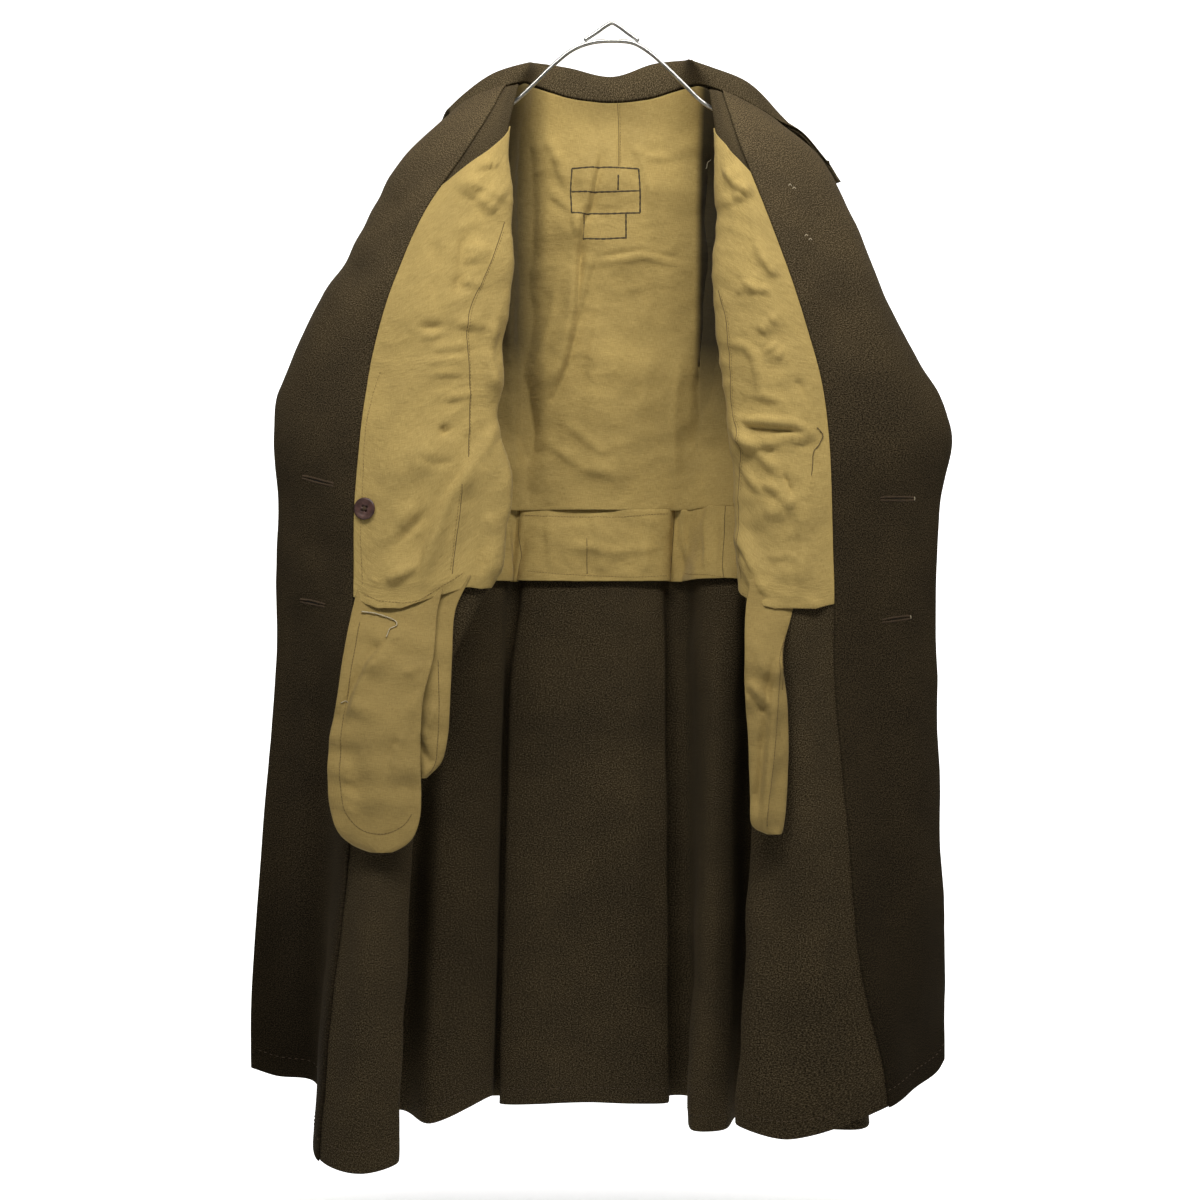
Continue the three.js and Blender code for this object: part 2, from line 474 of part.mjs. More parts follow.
// Back lining: the body above the waist tuck, the band below it, and the two side pieces
const liningLow = LAYER_GAP;
const liningHigh = LAYER_GAP + COTTON;
const tuckRow = rowIndex(WAIST_TUCK_ROW);
const backHemRow = rowIndex(BACK_LINING_HEM_ROW);
const bandLeft = backCentre - backIndex('turn');
const bandRight = backCentre + backIndex('tuck');
addSheet('lining_back', cut(wholeBack, [0, tuckRow], [1, backLast - 1],
  { top: 0, bottom: HALF_GAP, first: 0, last: 0 }), liningLow, liningHigh, 'cotton');
addSheet('lining_band', cut(wholeBack, [tuckRow, backHemRow], [bandLeft, bandRight],
  { top: HALF_GAP, bottom: 0, first: HALF_GAP, last: HALF_GAP }), liningLow, liningHigh, 'cotton');
addSheet('lining_side_left', cut(wholeBack, [tuckRow, backHemRow], [0, bandLeft],
  { top: HALF_GAP, bottom: 0, first: 1.5, last: HALF_GAP }), liningLow, liningHigh, 'cotton');
addSheet('lining_side_right', cut(wholeBack, [tuckRow, backHemRow], [bandRight, backLast],
  { top: HALF_GAP, bottom: 0, first: HALF_GAP, last: 1.5 }), liningLow, liningHigh, 'cotton');

// Fronts: wool, with the facing and the half lining on their inner face
function addFront(side, sheet) {
  const seam = frontIndex('seam');
  const edge = sheet.grid[0].length - 1;
  addSheet(`front_${side}`, cut(sheet, [0, hemRow], [0, edge],
    { top: 0, bottom: 0, first: HALF_GAP, last: 0 }), -WOOL, 0, 'wool');
  addSheet(`facing_${side}`, cut(sheet, [0, hemRow], [seam, edge],
    { top: 0, bottom: 0, first: HALF_GAP, last: 0 }), LAYER_GAP, LAYER_GAP + FACING, 'facing');
  addSheet(`lining_front_${side}`, cut(sheet, [1, rowIndex(FRONT_LINING_HEM_ROW)], [1, seam],
    { top: 0, bottom: 0, first: 0, last: HALF_GAP }), liningLow, liningHigh, 'cotton');
}
addFront('left', leftFront);
addFront('right', rightFront);

// Collar: one wall from the left end round the neck to the right end
const collarRows = [...COLLAR_LEFT].reverse().concat([COLLAR_CENTRE], COLLAR_RIGHT)
  .map((row) => ({ z: 0, ...row }));
const collarGrid = smoothGrid(collarRows, COLLAR_COLUMNS, COLLAR_STEPS, COLLAR_STATION_STEPS);
const collarNormals = gridNormals(collarGrid, -1);
addPiece('collar', wall(collarGrid, collarNormals, -COLLAR_WALL, 0), 'wool');

// Sleeves: an open tube of rings, its wall outside the ring's line
function sleeveGrid(side) {
  const rings = SLEEVE_RINGS.map((ring) => {
    const line = [];
    for (let k = 0; k < SLEEVE_SIDES; k += 1) {
      const angle = (2 * Math.PI * k) / SLEEVE_SIDES;
      const share = (1 + Math.cos(angle)) / 2;
      const x = ring.inX + (ring.outX - ring.inX) * share;
      const z = ring.inZ + (ring.outZ - ring.inZ) * share;
      line.push(new THREE.Vector3(side * x, ring.midY + ring.half * Math.sin(angle), z));
    }
    return line;
  });
  return rings;
}

// Outward directions that stay in each ring's own plane
function ringNormals(grid, centreOf) {
  const depth = new THREE.Vector3(0, 1, 0);
  return grid.map((line) => {
    const plane = line[0].clone().sub(line[line.length / 2]).cross(depth).normalize();
    return line.map((place, c) => {
      const before = line[(c + line.length - 1) % line.length];
      const after = line[(c + 1) % line.length];
      const normal = after.clone().sub(before).cross(plane).normalize();
      const outward = place.clone().sub(centreOf(line));
      return normal.dot(outward) < 0 ? normal.negate() : normal;
    });
  });
}

function middle(line) {
  const total = new THREE.Vector3();
  line.forEach((place) => total.add(place));
  return total.divideScalar(line.length);
}

for (const [side, sign] of [['left', -1], ['right', 1]]) {
  const grid = sleeveGrid(sign);
  addPiece(`sleeve_${side}`, wall(grid, ringNormals(grid, middle), 0, WOOL, true), 'wool');
}

// Pocket bags
function bagSheet(table) {
  const grid = table.map((row) => {
    const line = [];
    for (let k = 0; k <= BAG_STEPS; k += 1) {
      const share = k / BAG_STEPS;
      const x = row.left + (row.right - row.left) * share;
      line.push(new THREE.Vector3(x, row.y - BAG_SWELL * Math.sin(Math.PI * share), row.z));
    }
    return line;
  });
  return { grid, normals: gridNormals(grid, 1) };
}
for (const [name, table] of [['pocket_bag_left', BAG_LEFT],
  ['pocket_bag_left_inner', BAG_LEFT_INNER], ['pocket_bag_right', BAG_RIGHT]]) {
  addSheet(name, bagSheet(table), 0, BAG_WALL, 'cotton');
}

// Buttons: a flat disc with four holes, laid against a panel
function buttonGeometry(size) {
  const outline = new THREE.Shape();
  outline.absarc(0, 0, size.radius, 0, 2 * Math.PI, false);
  for (let k = 0; k < 4; k += 1) {
    const angle = Math.PI / 4 + (Math.PI / 2) * k;
    const hole = new THREE.Path();
    hole.absarc(size.holeRing * Math.cos(angle), size.holeRing * Math.sin(angle), size.hole,
      0, 2 * Math.PI, true);
    outline.holes.push(hole);
  }
  const disc = new THREE.ExtrudeGeometry(outline,
    { depth: size.thick, bevelEnabled: false, curveSegments: BUTTON_SEGMENTS });
  disc.deleteAttribute('normal');
  disc.deleteAttribute('uv');
  return mergeVertices(disc, 1e-4);
}

// Turns a button so that it looks along a panel's normal and sets it on that panel
function addButton(name, size, place, normal, offset) {
  const mesh = addPiece(name, buttonGeometry(size), 'button');
  mesh.quaternion.setFromUnitVectors(new THREE.Vector3(0, 0, 1), normal);
  mesh.position.copy(place).addScaledVector(normal, offset);
}

// Point and normal of a sheet at a height, between two of its columns
function sheetPlace(sheet, z, column, share) {
  const r = sheet.grid.findIndex((line) => line[column].z < z);
  const upper = sheet.grid[r - 1];
  const lower = sheet.grid[r];
  const down = (upper[column].z - z) / (upper[column].z - lower[column].z);
  const mixRow = (line) => line[column].clone().lerp(line[column + 1], share);
  const place = mixRow(upper).lerp(mixRow(lower), down);
  const along = mixRow(lower).sub(mixRow(upper));
  const across = upper[column + 1].clone().sub(upper[column]);
  const normal = across.cross(along).normalize();
  if (normal.dot(sheet.normals[r][column]) < 0) normal.negate();
  return { place, normal };
}

const INNER_BUTTON = { z: -529, share: 0.6, lift: 0.8 };
const innerSpot = sheetPlace(leftFront, INNER_BUTTON.z, frontIndex('seam') - 1, INNER_BUTTON.share);
addButton('button_inner', BUTTON, innerSpot.place, innerSpot.normal, liningHigh + INNER_BUTTON.lift);

const COAT_BUTTON_HEIGHTS = [-490, -620];
const BUTTON_LIFT = 0.8;
for (const [side, sheet] of [['left', leftFront], ['right', rightFront]]) {
  COAT_BUTTON_HEIGHTS.forEach((z, k) => {
    const spot = sheetPlace(sheet, z, frontIndex('seam') - 2, 0.5);
    addButton(`button_${side}_${k + 1}`, COAT_BUTTON, spot.place,
      spot.normal.clone().negate(), WOOL + BUTTON_LIFT);
  });
}

// Hanger: two wires of round section
function wireGeometry(points) {
  const curve = new THREE.CatmullRomCurve3(points.map((p) => new THREE.Vector3(...p)), false,
    'centripetal');
  const steps = WIRE_STEPS * (points.length - 1);
  const rings = [];
  for (let k = 0; k <= steps; k += 1) {
    const centre = curve.getPoint(k / steps);
    const tangent = curve.getTangent(k / steps);
    const side = new THREE.Vector3(0, 1, 0);
    const up = tangent.clone().cross(side).normalize();
    const ring = [];
    for (let s = 0; s < WIRE_SIDES; s += 1) {
      const angle = (2 * Math.PI * s) / WIRE_SIDES;
      ring.push(centre.clone().addScaledVector(side, WIRE_RADIUS * Math.cos(angle))
        .addScaledVector(up, WIRE_RADIUS * Math.sin(angle)));
    }
    rings.push(ring);
  }
  const positions = [];
  rings.forEach((ring) => ring.forEach((p) => positions.push(p.x, p.y, p.z)));
  const index = [];
  const at = (r, s) => r * WIRE_SIDES + (s % WIRE_SIDES);
  for (let r = 0; r < rings.length - 1; r += 1) {
    for (let s = 0; s < WIRE_SIDES; s += 1) {
      index.push(at(r, s), at(r + 1, s), at(r + 1, s + 1), at(r, s), at(r + 1, s + 1), at(r, s + 1));
    }
  }
  for (const [r, flip] of [[0, false], [rings.length - 1, true]]) {
    for (let s = 1; s < WIRE_SIDES - 1; s += 1) {
      const fan = [at(r, 0), at(r, s), at(r, s + 1)];
      index.push(...(flip ? fan.reverse() : fan));
    }
  }
  return closedGeometry(positions, index);
}
addPiece('hanger_arch', wireGeometry(ARCH), 'wire');
addPiece('hanger_eye', wireGeometry(EYE), 'wire');

export default coat;
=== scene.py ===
# %% [markdown]
# # An officer coat on a wire hanger
# The coat hangs open and is seen from the front, with both fronts folded back outward. What
# shows is the inside: a cotton half lining, wool facings, the loose pocket bags and the skirt.
# Every piece of cloth is a thin wall that follows the form of its CAD solid, with its creases
# put in one by one. All sizes are in metres, and the origin is inside the top of the hanger's eye.

# %% Load the frame
import math
import bpy
import numpy as np
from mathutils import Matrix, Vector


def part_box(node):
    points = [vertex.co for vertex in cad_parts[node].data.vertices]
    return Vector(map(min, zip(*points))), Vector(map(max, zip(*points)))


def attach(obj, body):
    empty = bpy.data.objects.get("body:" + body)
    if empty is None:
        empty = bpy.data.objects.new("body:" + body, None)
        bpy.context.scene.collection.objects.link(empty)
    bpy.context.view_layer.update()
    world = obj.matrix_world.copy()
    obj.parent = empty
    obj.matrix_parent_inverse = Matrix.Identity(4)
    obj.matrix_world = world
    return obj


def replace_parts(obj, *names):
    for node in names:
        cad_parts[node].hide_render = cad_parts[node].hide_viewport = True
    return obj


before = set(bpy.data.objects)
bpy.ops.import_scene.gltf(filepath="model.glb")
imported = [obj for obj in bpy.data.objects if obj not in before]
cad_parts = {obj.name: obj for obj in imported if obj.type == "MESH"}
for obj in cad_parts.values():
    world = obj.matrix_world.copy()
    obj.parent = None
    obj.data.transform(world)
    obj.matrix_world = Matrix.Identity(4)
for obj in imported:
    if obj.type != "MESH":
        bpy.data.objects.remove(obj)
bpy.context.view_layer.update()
MM = 0.001

# %% [markdown]
# ## Camera
# The picture is square and level, taken from 1.8 m in front of the hanger, half way down the
# coat. On the hanger's own plane one of the picture's 1200 pixels is 1.08 mm, so a place on
# the coat can be named by the pixel where the eye sees it. Creases and seams are listed so.

# %% Camera
EYE = np.array([-0.013, -1.8, -0.621])
PIXEL = 1.08 * MM
HALF_PICTURE = 600

camera = bpy.data.objects.new("camera", bpy.data.cameras.new("camera"))
camera.data.lens = 50
camera.data.sensor_width = 36
camera.location = EYE
camera.rotation_euler = (math.radians(90), 0, 0)
bpy.context.scene.collection.objects.link(camera)
bpy.context.scene.camera = camera


def seen(points):
    """Where the eye sees the points, in the picture's pixels"""
    scale = -EYE[1] / (points[..., 1] - EYE[1]) / PIXEL
    px = HALF_PICTURE + (points[..., 0] - EYE[0]) * scale
    py = HALF_PICTURE - (points[..., 2] - EYE[2]) * scale
    return px, py


print("the eye sees the origin at", [round(float(v)) for v in seen(np.zeros(3))])

# %% [markdown]
# ## The cloth's form
# These are the CAD source's own tables, in millimetres. A row is a height and the points
# along it; a point with three numbers has a height of its own. The back runs from its centre
# over the pleat to the side seam, and a front runs from the side seam round the inner fold,
# across the lining and the facing, and over the sleeve to its edge.

# %% Tables of the back and the fronts
LEFT_BACK = [
    (-60, (0, 60, -67), (-45, 57, -63), (-68, 52, -58), (-86, 38, -56),
     (-99, 10, -61), (-150, 9, -102), (-182, 8, -126), (-212, 7, -147)),
    (-150, (0, 70), (-45, 71), (-70, 70), (-92, 69),
     (-118, 66), (-158, 56), (-188, 40), (-211.9, 14)),
    (-220, (0, 78), (-50, 79), (-75, 79), (-98, 78),
     (-125, 75), (-162, 68), (-190, 56), (-209.4, 41)),
    (-300, (0, 84), (-55, 85), (-80, 85), (-102, 84),
     (-128, 81), (-163, 73), (-190, 58), (-206.5, 40)),
    (-370, (0, 86), (-58, 87), (-84, 87), (-105, 86),
     (-130, 83), (-162, 73), (-190, 52), (-204, 5)),
    (-405, (0, 86), (-60, 87), (-85, 88), (-106, 87),
     (-132, 84), (-164, 72), (-192, 50), (-206, 4)),
    (-450, (0, 86), (-66, 87), (-88, 88), (-106, 87),
     (-132, 83), (-165, 70), (-193, 46), (-207, 3)),
    (-520, (0, 84), (-75, 85), (-92, 86), (-107, 86),
     (-130, 81), (-165, 66), (-194, 42), (-207, 2)),
    (-600, (-5, 80), (-96, 80), (-104, 90), (-115, 89),
     (-124, 75), (-168, 58), (-196, 36), (-207, 2)),
    (-630, (-9, 80), (-102, 79), (-105, 91), (-117, 91),
     (-125, 73), (-170, 54), (-197, 34), (-207, 2)),
    (-700, (-18, 78), (-112, 76), (-106, 93), (-119, 95),
     (-126, 72), (-176, 42), (-199, 30), (-208, 2)),
    (-850, (-25, 77), (-117, 75), (-108, 97), (-123, 99),
     (-129, 70), (-186, 24), (-214, 42), (-236, 18)),
    (-1000, (-30, 76), (-121, 74), (-110, 99), (-126, 101),
     (-132, 68), (-192, 10), (-226, 46), (-268, 28)),
    (-1110, (-32, 76), (-124, 73), (-112, 100), (-129, 102),
     (-135, 67), (-196, 3), (-233, 48), (-290, 28)),
    (-1187, (-33, 75), (-126, 72), (-113, 100), (-131, 102),
     (-137, 66, -1178), (-197, 0), (-236, 49), (-298, 27)),
]

LEFT_FRONT = [
    (-65, (-212, 5, -147.5), (-155, 6, -106.5), (-101, 0, -64), (-106, -5, -66),
     (-113, -7, -68), (-148, -6, -81), (-178, 10, -99), (-203, 42, -132)),
    (-150, (-211.9, -4), (-165, -26), (-113, -45), (-128, -58),
     (-150, -62), (-198, -48), (-225, -8), (-222, 30)),
    (-220, (-209.4, -31), (-160, -42), (-110, -55), (-150, -75),
     (-194, -78), (-243, -60), (-268, -12), (-260, 26)),
    (-300, (-206.5, -30), (-158, -46), (-112, -60), (-165, -84),
     (-227, -86), (-286, -66), (-308, -22), (-302, 8)),
    (-370, (-204, 5), (-160, -42), (-121, -60), (-180, -86),
     (-247, -88), (-313, -72), (-338, -36), (-337, -15)),
    (-405, (-206, 4), (-160, -42), (-122, -60), (-184, -86),
     (-253, -88), (-318, -77), (-346, -52), (-353, -38)),
    (-450, (-207, 3), (-160, -42), (-122, -60), (-188, -86),
     (-259, -88), (-318, -80), (-342, -68), (-351, -58)),
    (-520, (-207, 2), (-155, -42), (-112, -60), (-185, -86),
     (-265, -88), (-315, -80), (-339, -69), (-349, -60)),
    (-600, (-207, 2), (-164, -42), (-128, -65), (-195, -88),
     (-266, -88), (-313, -78), (-340, -66), (-351, -57)),
    (-630, (-207, 2), (-170, -44), (-140, -68), (-200, -90),
     (-266, -90), (-311, -76), (-340, -64), (-352, -55)),
    (-700, (-208, 2), (-190, -46), (-172, -75), (-213, -99),
     (-264, -97), (-304, -70), (-340, -56), (-354, -50)),
    (-850, (-236, 18), (-226, -40), (-203, -95), (-230, -124),
     (-264, -112), (-300, -48), (-348, -38), (-369, -36)),
    (-1000, (-268, 28), (-262, -30), (-208, -110), (-241, -136),
     (-281, -116), (-310, -22), (-355, -18), (-382, -24)),
    (-1110, (-290, 28), (-280, -30), (-214, -120), (-248, -142),
     (-291, -120), (-318, -4, -1080), (-360, -6, -1072), (-386, -18, -1060)),
    (-1187, (-298, 27), (-286, -32), (-216, -124), (-250, -144, -1192),
     (-294, -122, -1186), (-322, 6, -1142), (-362, -2, -1134), (-386, -18, -1121)),
]

RIGHT_BACK = [
    (-60, (0, 60, -67), (45, 57, -63), (66, 52, -58), (84, 38, -57),
     (101, 10, -65), (150, 9, -104), (182, 8, -127), (212, 7, -147)),
    (-150, (0, 70), (45, 71), (68, 70), (90, 69),
     (116, 66), (158, 56), (188, 40), (211.9, 14)),
    (-220, (0, 78), (50, 79), (72, 79), (95, 78),
     (124, 75), (162, 68), (190, 56), (209.4, 41)),
    (-300, (0, 84), (54, 85), (75, 85), (98, 84),
     (127, 81), (163, 73), (190, 58), (206.5, 40)),
    (-370, (0, 86), (55, 87), (76, 87), (99, 86),
     (128, 83), (162, 73), (190, 52), (204, 5)),
    (-405, (0, 86), (55, 87), (76, 88), (99, 87),
     (128, 82), (162, 71), (192, 50), (206, 4)),
    (-450, (0, 86), (55, 87), (75, 88), (97, 87),
     (126, 80), (160, 66), (191, 48), (206, 3)),
    (-520, (0, 84), (54, 85), (72, 88), (92, 84),
     (115, 64), (150, 44), (182, 46), (206, 3)),
    (-600, (-3, 80), (55, 80), (66, 92), (84, 92),
     (100, 34), (134, 10), (165, 32), (206, 5)),
    (-630, (-6, 79), (58, 79), (64, 93), (84, 94),
     (100, 24), (133, 2), (162, 30), (206, 5)),
    (-700, (-15, 78), (61, 77), (62, 95), (84, 97),
     (99, 4), (130, -6), (158, 28), (207, 5)),
    (-850, (-24, 77), (63, 76), (61, 97), (85, 100),
     (99, -8), (126, -12), (154, 32), (226, 18)),
    (-1000, (-30, 76), (64, 76), (61, 98), (86, 101),
     (93, -18), (126, -18), (152, 36), (252, 28)),
    (-1110, (-32, 76), (64, 75), (60, 99), (86, 102),
     (87, -23), (121, -20), (148, 38), (272, 31)),
    (-1187, (-33, 75), (64, 75), (60, 99), (86, 102),
     (85, -25), (119, -22), (147, 38), (280, 31)),
]

RIGHT_FRONT = [
    (-65, (212, 5, -147.5), (155, 6, -109), (105, 0, -70), (110, -5, -71),
     (118, -7, -74), (152, -6, -91), (182, 10, -107), (203, 42, -135)),
    (-150, (211.9, -4), (165, -26), (111, -45), (121, -57),
     (134, -62), (192, -50), (225, -8), (222, 30)),
    (-220, (209.4, -31), (160, -42), (114, -55), (134, -73),
     (159, -78), (222, -64), (256, -12), (252, 26)),
    (-300, (206.5, -30), (158, -46), (110, -60), (145, -84),
     (187, -86), (255, -70), (288, -22), (284, 8)),
    (-370, (204, 5), (162, -42), (118, -60), (158, -86),
     (208, -88), (286, -74), (323, -34), (322, -12)),
    (-405, (206, 4), (164, -42), (122, -60), (164, -86),
     (216, -88), (300, -76), (342, -42), (343, -24)),
    (-450, (206, 3), (166, -42), (127, -60), (170, -87),
     (222, -89), (305, -80), (347, -58), (355, -46)),
    (-520, (206, 3), (172, -42), (134, -60), (175, -87),
     (225, -89), (290, -82), (329, -69), (341, -60)),
    (-600, (206, 5), (176, -42), (137, -65), (178, -88),
     (227, -90), (287, -82), (325, -68), (336, -59)),
    (-630, (206, 5), (178, -43), (139, -67), (179, -90),
     (227, -91), (287, -82), (325, -67), (336, -58)),
    (-700, (207, 5), (182, -44), (142, -70), (180, -92),
     (227, -93), (288, -82), (326, -66), (337, -56)),
    (-850, (226, 18), (206, -38), (144, -74), (184, -97),
     (240, -96), (296, -78), (332, -55), (342, -46)),
    (-1000, (252, 28), (238, -30), (139, -72), (184, -99),
     (254, -92), (306, -64), (343, -34), (352, -25)),
    (-1110, (272, 31), (258, -26), (131, -64), (181, -97),
     (278, -74, -1096), (315, -42, -1084), (347, -12, -1072), (356, -4, -1062)),
    (-1187, (280, 31), (264, -26, -1184), (128, -60, -1168), (178, -95, -1174),
     (287, -62, -1150), (320, -34, -1137), (348, -8, -1127), (357, 0, -1116)),
]

print("rows:", len(LEFT_BACK), "back columns:", len(LEFT_BACK[0]) - 1,
      "front columns:", len(LEFT_FRONT[0]) - 1)

# %% [markdown]
# A smooth line through the points keeps its shape wherever it is sampled, so a piece can be
# cut out of the cloth at any column and row, even between two of the table's. The line is the
# same kind that the CAD uses: a centripetal Catmull-Rom curve.

# %% Smooth lines and surfaces
TINY = 1e-6


def smooth(points, where):
    """Points of smooth lines through points (n, lines, 3), at the places where (m, lines)"""
    first = 2 * points[:1] - points[1:2]
    last = 2 * points[-1:] - points[-2:-1]
    all_points = np.concatenate([first, points, last])
    start = np.clip(np.floor(where).astype(int), 0, len(points) - 2)
    share = (where - start)[..., None]
    line = np.arange(points.shape[1])[None, :]
    p0, p1, p2, p3 = (all_points[start + k, line] for k in range(4))

    def knot(a, b):
        step = np.sqrt(np.linalg.norm(b - a, axis=-1, keepdims=True) / MM)
        return np.maximum(step, TINY)

    d0, d1, d2 = knot(p0, p1), knot(p1, p2), knot(p2, p3)
    t1 = ((p1 - p0) / d0 - (p2 - p0) / (d0 + d1) + (p2 - p1) / d1) * d1
    t2 = ((p2 - p1) / d1 - (p3 - p1) / (d1 + d2) + (p3 - p2) / d2) * d1
    c2 = -3 * p1 + 3 * p2 - 2 * t1 - t2
    c3 = 2 * p1 - 2 * p2 + t1 + t2
    return p1 + t1 * share + c2 * share ** 2 + c3 * share ** 3


def table_points(table):
    """A table as an array of rows and columns of points, in metres"""
    rows = []
    for z, *places in table:
        rows.append([(p[0], p[1], p[2] if len(p) == 3 else z) for p in places])
    return np.array(rows, dtype=float) * MM


def surface(points, rows, columns):
    """The smooth surface through a table's points, at the rows (m, n) and the columns (n)"""
    every_row = np.repeat(columns[:, None], len(points), axis=1)
    across = smooth(np.swapaxes(points, 0, 1), every_row)
    return smooth(np.swapaxes(across, 0, 1), rows)


def smooth_line(points, where):
    """Values of one smooth line through points (n, values), at the places where (m)"""
    return smooth(np.array(points, dtype=float)[:, None], np.array(where)[:, None])[:, 0]


def unit(vectors):
    """The same vectors, one metre long"""
    return vectors / np.maximum(np.linalg.norm(vectors, axis=-1, keepdims=True), TINY ** 2)


def smooth_step(value):
    """From 0 to 1, easing in and out"""
    value = np.clip(value, 0, 1)
    return value * value * (3 - 2 * value)


def lengths_along(points):
    """How far along a line each of its points lies, from 0 at the first"""
    steps = np.linalg.norm(np.diff(points, axis=0), axis=1)
    return np.concatenate([[0], np.cumsum(steps)])


def read_along(values, reach, where):
    """Columns of values that are known at the lengths reach, read at the lengths where"""
    return np.stack([np.interp(where, reach, column) for column in values.T], axis=-1)


def places(points, axis, start, end, spacing):
    """Places from start to end along a table's rows or columns, about spacing metres apart"""
    steps = np.linalg.norm(np.diff(points, axis=axis), axis=-1).max(axis=1 - axis)
    chosen = []
    knots = [start, *range(math.ceil(start + TINY), math.ceil(end)), end]
    for a, b in zip(knots[:-1], knots[1:]):
        length = steps[min(int(a + TINY), len(steps) - 1)] * (b - a)
        count = max(1, round(length / spacing))
        chosen.extend(a + (b - a) * k / count for k in range(count))
    return np.array(chosen + [end])


left_back, right_back = table_points(LEFT_BACK), table_points(RIGHT_BACK)
left_front, right_front = table_points(LEFT_FRONT), table_points(RIGHT_FRONT)
whole_back = np.concatenate([left_back[:, ::-1], right_back[:, 1:]], axis=1)
CENTRE = left_back.shape[1] - 1
print("whole back:", whole_back.shape[:2], "points")

# %% [markdown]
# ## Creases
# A crease in hung cloth is a soft ridge or trough, steeper on one side than on the other, and
# it fades out at both ends. Each one is a line of picture points with its height and the
# width of its two sides: the side to the left of a line drawn downward, and the side to its
# right. Between the creases the cloth is never quite still, so it gets a low uneven ripple.

# %% Creases and ripples
FADE = 0.22                    # share of a crease's length over which each end fades
END_SHARE = 0.25               # share of its height that a crease keeps at its ends
SLOW_SWELL = 0.22              # how much a crease's height swells and sinks along it
QUICK_SWELL = 0.1
WAVES = 14                     # waves in a ripple
WAVE_RANGE = (0.65, 1.6)       # the shortest and the longest of them, as shares of the mean


def crease_heights(px, py, creases):
    """Height of the cloth over its plain form, in metres, from a list of creases"""
    total = np.zeros_like(px)
    for number, (height, left, right, line) in enumerate(creases):
        line = np.array(line, dtype=float)
        reach = lengths_along(line)
        reach = reach / reach[-1]
        nearest = np.full(px.shape, np.inf)
        side = np.zeros_like(px)
        along = np.zeros_like(px)
        for k in range(len(line) - 1):
            (ax, ay), (bx, by) = line[k], line[k + 1]
            dx, dy = bx - ax, by - ay
            share = np.clip(((px - ax) * dx + (py - ay) * dy) / (dx * dx + dy * dy), 0, 1)
            distance = np.hypot(px - ax - share * dx, py - ay - share * dy)
            closer = distance < nearest
            nearest = np.where(closer, distance, nearest)
            side = np.where(closer, dx * (py - ay) - dy * (px - ax), side)
            along = np.where(closer, reach[k] + share * (reach[k + 1] - reach[k]), along)
        width = np.where(side > 0, left, right)
        ends = END_SHARE + (1 - END_SHARE) * smooth_step(np.minimum(along, 1 - along) / FADE)
        uneven = (1 + SLOW_SWELL * np.sin(9 * along + number * 1.7)
                  + QUICK_SWELL * np.sin(23 * along + number))
        total += height * MM * ends * uneven * np.exp(-(nearest / width) ** 2)
    return total


def ripple(px, py, seed, length, angle=90, spread=40):
    """Uneven waves about length pixels long, with their crests near the given angle"""
    chance = np.random.RandomState(seed)
    total = np.zeros_like(px)
    for _ in range(WAVES):
        turn = math.radians(angle + chance.uniform(-spread, spread))
        wave = length * chance.uniform(*WAVE_RANGE)
        across = px * math.sin(turn) + py * math.cos(turn)
        total += np.cos(2 * math.pi * across / wave + chance.uniform(0, 2 * math.pi))
    return total / math.sqrt(WAVES)


sample = ripple(*np.mgrid[0:600:5, 0:600:5].astype(float), 1, 40)
print("a ripple runs from", round(float(sample.min()), 2), "to", round(float(sample.max()), 2))

# %% [markdown]
# ## Walls of cloth
# A sheet has two faces and a rounded rim. The wool is 2.6 mm thick melton, so its cut edges
# read as soft rolls, and the cotton is about 1 mm. Each sheet carries a map of its own length
# and width in metres, so that the weave in its material runs along the cloth at true scale.

# %% Sheet builder
RIM_TURNS = (-45, 0, 45)       # where the rounded rim is sampled, in degrees
WOOL = 2.6 * MM
COTTON = 1.1 * MM
FACING = 2.4 * MM
LAYER_GAP = 0.35 * MM
STEP = 0.02                    # a small step in table units, for measuring slopes
STEADY_ROW = 0.5               # nearer the neck than this row, the slopes of this row are used


def slopes(points_at, rows, columns, top, bottom, first, last, turn):
    """Unit normals of a surface, from small steps up, down and sideways"""
    down = points_at(np.minimum(rows + STEP, bottom), columns)
    up = points_at(np.maximum(rows - STEP, top), columns)
    after = points_at(rows, np.minimum(columns + STEP, last))
    before = points_at(rows, np.maximum(columns - STEP, first))
    return unit(np.cross(after - before, down - up)) * turn


def formed(points, rows, columns, turn, relief):
    """A surface with its relief: the places, and the directions that point into the coat"""
    limits = (0, len(points) - 1, 0, points.shape[1] - 1)

    def plain(r, c):
        return surface(points, r, c)

    def raised(r, c):
        normals = slopes(plain, np.maximum(r, STEADY_ROW), c, *limits, turn)
        grid = plain(r, c)
        return grid + normals * relief(*seen(grid), r, c)[..., None]

    grid = raised(rows, columns)
    return grid, slopes(raised, np.maximum(rows, STEADY_ROW), columns, *limits, turn)


def drawn_in(grid, distances):
    """The grid with its four edges drawn in: top, bottom, first and last column"""
    grid = grid.copy()
    top, bottom, first, last = distances
    for edge, inner, distance in ((0, 1, top), (-1, -2, bottom)):
        grid[edge] += unit(grid[inner] - grid[edge]) * distance
    for edge, inner, distance in ((0, 1, first), (-1, -2, last)):
        grid[:, edge] += unit(grid[:, inner] - grid[:, edge]) * distance
    return grid


